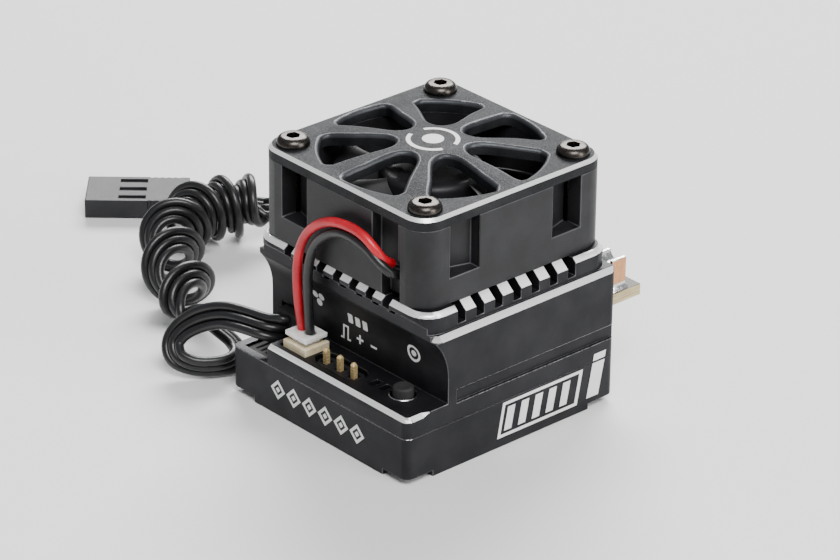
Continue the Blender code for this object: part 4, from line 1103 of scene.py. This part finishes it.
def case_graphics():
    """Generic white graphics on the case: a run of lozenges in front, slanted bars on the side."""
    def on_front(u, v, lift):
        return u, FRONT - lift - PRINT_GAP, v

    def on_label(u, v, lift):
        return CASE_X + lift + PRINT_GAP, u, v

    for i in range(6):
        u, v, size = -7.4 + i * 2.95, 3.6, 1.35
        outer, inner, core = [lozenge(u, v, size * share) for share in (1, 0.62, 0.3)]
        flat_mark(f"front_graphic_{i + 1}", [outer, inner], on_front)
        flat_mark(f"front_graphic_core_{i + 1}", [core], on_front)
    frame_low, frame_high, lean = (-5.3, 1.3), (8.0, 6.0), 0.9
    outline = [slanted(frame_low, frame_high, lean), slanted((-4.8, 1.7), (7.55, 5.6), lean * 0.83)]
    flat_mark("side_graphic_frame", outline, on_label)
    for i in range(5):
        u = -4.2 + i * 2.3
        flat_mark(f"side_graphic_bar_{i + 1}", [slanted((u, 2.1), (u + 1.2, 5.2), lean * 0.7)], on_label)
    flat_mark("side_graphic_end", [slanted((9.6, 1.6), (11.6, 6.2), 0.95)], on_label)
    flat_mark("side_graphic_tip", [slanted((10.58, 6.5), (12.58, 7.4), 0.19)], on_label)


def fan_socket():
    """The cream socket round the foot of the white plug, whose wider top has two wire holes."""
    low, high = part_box("fan_header")
    top = high.z - 0.15 * MM
    base = block(low, (high.x, high.y, top))
    middle = (low + high) / 2
    well = 0.75 * MM
    hollow = block((low.x + well, low.y + well, low.z + 0.6 * MM), (high.x - well, high.y - well, top + MM))
    notches = []
    for s in (-1, 1):
        x = middle.x + s * 1.1 * MM
        foot = (x - 0.25 * MM, high.y - 0.4 * MM, top - 1.2 * MM)
        notches.append(block(foot, (x + 0.25 * MM, high.y + MM, top + MM)))
    mesh = rounded_edges(less(base, [hollow, *notches]), 0.09 * MM)
    place("fan_socket", mesh, "case", "cream_nylon", [CREAM], ("fan_header",))
    plug_low, plug_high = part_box("fan_plug")
    inset = well + 0.06 * MM
    neck_high = (high.x - inset, high.y - inset, plug_high.z)
    neck = block((low.x + inset, low.y + inset, low.z + 0.7 * MM), neck_high)
    brow = 0.62 * MM
    cap_low, cap_high = (plug_low.x, plug_low.y, plug_high.z - brow), plug_high
    holes = [
        slab([arc(x, CRIMP_Y, 0.68 * MM, 0, 345, 23)], plug_high.z - 0.45 * MM, plug_high.z + MM)
        for x in CRIMP_X
    ]
    face = low.y + inset
    windows = [
        block((x - 0.4 * MM, face - MM, top + 0.02 * MM), (x + 0.4 * MM, face + 0.3 * MM, plug_high.z - brow))
        for x in CRIMP_X
    ]
    mesh = rounded_edges(less(neck, windows), 0.06 * MM)
    place("fan_plug_neck", mesh, "case", "white_nylon", [WHITE], ("fan_plug",))
    mesh = rounded_edges(less(block(cap_low, cap_high), holes), 0.09 * MM)
    place("fan_plug_top", mesh, "case", "white_nylon", [WHITE], ("fan_plug",))


def program_port():
    """The black insert and its three pins, each pointed above a shoulder."""
    mesh = rounded_edges(cad_copy("program_port"), 0.06 * MM)
    place("program_port_insert", mesh, "case", "black_plastic", [PLASTIC], ("program_port",))
    for i in range(3):
        node = f"program_pin_{i + 1}"
        low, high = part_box(node)
        bm = opened(block(low, high))
        centre = (low + high) / 2
        for vertex in bm.verts:
            if vertex.co.z > centre.z:
                vertex.co.x = centre.x + (vertex.co.x - centre.x) * 0.5
                vertex.co.y = centre.y + (vertex.co.y - centre.y) * 0.5
        shoulder = high.z - 0.35 * MM
        split_at(bm, (0, 0, shoulder), (0, 0, 1))
        half = (high.x - low.x) / 2
        for vertex in bm.verts:
            if abs(vertex.co.z - shoulder) < 1e-6:
                vertex.co.x = centre.x + math.copysign(half, vertex.co.x - centre.x)
                vertex.co.y = centre.y + math.copysign(half, vertex.co.y - centre.y)
        mesh = rounded_edges(to_mesh("passing", bm), 0.04 * MM, 2, 15)
        place(f"program_pin_{i + 1}_gold", mesh, "case", "gold_plate", [GOLD], (node,))


def set_button():
    """The button's cap with a dished top and a rolled rim, and a thin ring in a painted highlight round its
    hole.
    """
    low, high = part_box("set_button")
    x, y, top = (low.x + high.x) / 2, (low.y + high.y) / 2, high.z
    radius = (high.x - low.x) / 2
    profile = [(0.0, top - 0.12 * MM), (0.55 * MM, top - 0.08 * MM), (0.8 * MM, top - 0.01 * MM)]
    profile += arc(radius - 0.32 * MM, top - 0.32 * MM, 0.32 * MM, 90, 0, 6)
    profile += [(radius, low.z), (0.0, low.z)]
    cap = to_mesh("set_button_cap", lathe(profile, x, y, 48), 50)
    place("set_button_cap", cap, "button", "black_rubber", [RUBBER], ("set_button",))
    # A thin ring in a painted highlight round the button's hole.
    ring = [(1.78 * MM, TERRACE_Z + 0.003 * MM), (1.70 * MM, TERRACE_Z + 0.09 * MM)]
    ring += [(1.62 * MM, TERRACE_Z + 0.06 * MM), (1.62 * MM, TERRACE_Z + 0.003 * MM)]
    mesh = to_mesh("set_button_highlight_ring", lathe(ring, x, y, 48))
    place("set_button_highlight_ring", mesh, "case", "anodised_aluminium", [HIGHLIGHT_LINE])


def status_lights():
    """The two light windows, let down a little into the terrace."""
    for i in (1, 2):
        mesh = cad_copy(f"status_light_{i}")
        move_flat(mesh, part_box(f"status_light_{i}")[1].z, 8.6 * MM)
        mesh = rounded_edges(mesh, 0.04 * MM)
        place(f"status_light_{i}_pipe", mesh, "case", "light_pipe", [SMOKED], (f"status_light_{i}",))


def grommet():
    """The lead's rubber exit, with softened edges."""
    mesh = rounded_edges(cad_copy("lead_grommet"), 0.1 * MM)
    place("lead_exit_grommet", mesh, "case", "black_rubber", [RUBBER], ("lead_grommet",))


# Power side

def power_board():
    """The board with its tan cut edges, and its flat faces in the tongue mask."""
    mesh = rounded_edges(cad_copy("power_board"), 0.06 * MM)
    for face in mesh.polygons:
        if abs(face.normal.z) > 0.9:
            face.material_index = 1
    place("power_board_laminate", mesh, "case", "bare_laminate", [TAN, PADS], ("power_board",))


def solder_post(name, node):
    """A copper post with its worn channel, tinned lips and a solder fillet at its foot."""
    low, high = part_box(node)
    mesh = rounded_edges(cad_copy(node), 0.1 * MM, 3, 40)
    post = place(name, mesh, "case", "copper", [COPPER, SOLDER], (node,))
    x, y = (low.x + high.x) / 2, (low.y + high.y) / 2
    for face in post.data.polygons:
        p = face.center
        if p.z > high.z - 0.35 * MM or math.hypot(p.x - x, p.z - high.z) < 1.16 * MM:
            face.material_index = 1
    bm = bmesh.new()
    foot, rings = low.z, []
    half_x, half_y = (high.x - low.x) / 2, (high.y - low.y) / 2
    for out, rise in ((0.42, -0.28), (0.34, -0.1), (0.16, 0.06), (0.05, 0.34), (0.02, 0.6)):
        ring_low = (x - half_x - out * MM, y - half_y - out * MM)
        ring_high = (x + half_x + out * MM, y + half_y + out * MM)
        verts = []
        for i, (px, py) in enumerate(rounded(ring_low, ring_high, (0.2 + out) * MM, 4)):
            ripple = 0.05 * MM * math.sin(3 * i + out * 9)
            verts.append(bm.verts.new((px, py, foot + rise * MM + ripple * (rise > 0))))
        rings.append(verts)
    for first, second in zip(rings, rings[1:]):
        for i in range(len(first)):
            j = (i + 1) % len(first)
            bm.faces.new((first[i], first[j], second[j], second[i]))
    bm.faces.new(rings[0][::-1])
    bm.faces.new(rings[-1])
    place(f"{name}_solder", to_mesh(f"{name}_solder", bm, 70), "case", "copper", [SOLDER])


# Pieces inside

INSIDE = {
    "control_board": (MASK, "solder_mask", 0.05), "thermal_pad": (SILICONE, "thermal_silicone", 0.12),
    "board_link": (PLASTIC, "black_plastic", 0.1), "microcontroller": (EPOXY, "chip_epoxy", 0.12),
    "gate_driver": (EPOXY, "chip_epoxy", 0.12), "supply_inductor": (FERRITE, "ferrite", 0.3),
    "supply_capacitor": (TAN, "bare_laminate", 0.1), "set_switch": (STEEL, "dark_steel", 0.08),
    "fan_circuit_board": (MASK, "solder_mask", 0.04), "stator_winding": (COPPER, "copper", 0.1),
    "stator_core": (STEEL, "dark_steel", 0.05), "fan_bearing": (BRASS, "sintered_brass", 0.08),
    **{f"mosfet_{i}": (EPOXY, "chip_epoxy", 0.1) for i in range(1, 7)},
}


def inner_pieces():
    """The boards' parts and the fan's motor, each with softened edges and its own finish."""
    for node, (look, slot, edge) in INSIDE.items():
        mesh = rounded_edges(cad_copy(node), edge * MM)
        place(f"{node}_detail", mesh, "case", slot, [look], (node,))
    for node, look, slot in (("rotor_magnet", FERRITE, "ferrite"), ("fan_shaft", STEEL, "polished_steel")):
        mesh = rounded_edges(cad_copy(node), 0.08 * MM)
        place(f"{node}_detail", mesh, "rotor", slot, [look], (node,))


# Floor and light

def stage():
    """A plain pale floor and even studio light from all round."""
    floor_look, tree, shader = new_look("floor", (0.80, 0.80, 0.79), 0.55)
    vary_colour(tree, shader, noise_of(tree, 3, 3), (0.78, 0.78, 0.77), (0.82, 0.82, 0.81))
    mesh = bpy.data.meshes.new("floor")
    size = 3.0
    corners = [(-size, -size, 0), (size, -size, 0), (size, size, 0), (-size, size, 0)]
    mesh.from_pydata(corners, [], [(0, 1, 2, 3)])
    mesh.materials.append(floor_look)
    show("floor", mesh)
    world = bpy.data.worlds.new("studio")
    world.use_nodes = True
    background = world.node_tree.nodes["Background"]
    background.inputs["Color"].default_value = (0.93, 0.95, 1.0, 1)
    background.inputs["Strength"].default_value = 0.36
    bpy.context.scene.world = world


def area_light(name, at, aim, width, height, power):
    """A soft light from one point to another."""
    data = bpy.data.lights.new(name, "AREA")
    data.shape = "RECTANGLE"
    data.size = width
    data.size_y = height
    data.energy = power
    obj = show(name, data)
    obj.location = at
    obj.rotation_euler = (Vector(aim) - Vector(at)).to_track_quat("-Z", "Y").to_euler()


camera()
signal_lead()
upper_shell()
base_tray()
fan_frame()
fan_rotor()
fan_guard()
for number, (sx, sy) in enumerate(((1, -1), (1, 1), (-1, 1), (-1, -1)), 1):
    screw = f"guard_screw_{number}"
    socket_screw(f"{screw}_socket", screw, FAN.x + sx * SCREW_OFF, FAN.y + sy * SCREW_OFF)
    case_screw(f"case_screw_{number}_socket", f"case_screw_{number}")
fan_wire("fan_lead_red", "fan_wire_red", RED_ROUTE, RED, "red_pvc")
fan_wire("fan_lead_black", "fan_wire_black", BLACK_ROUTE, BLACK, "black_pvc")
wall_marks()
case_graphics()
fan_socket()
program_port()
set_button()
status_lights()
grommet()
power_board()
for post_name in ("phase_a", "phase_b", "phase_c", "negative", "positive"):
    solder_post(f"{post_name}_copper_post", f"post_{post_name}")
inner_pieces()
stage()
area_light("key", (0.45, -0.25, 0.75), (0, 0, 0.015), 0.5, 0.4, 9)
area_light("rim", (-0.45, 0.5, 0.5), (0, 0, 0.02), 0.6, 0.3, 11)
area_light("side", (0.75, 0.2, 0.3), (0, 0, 0.015), 0.3, 0.5, 4)
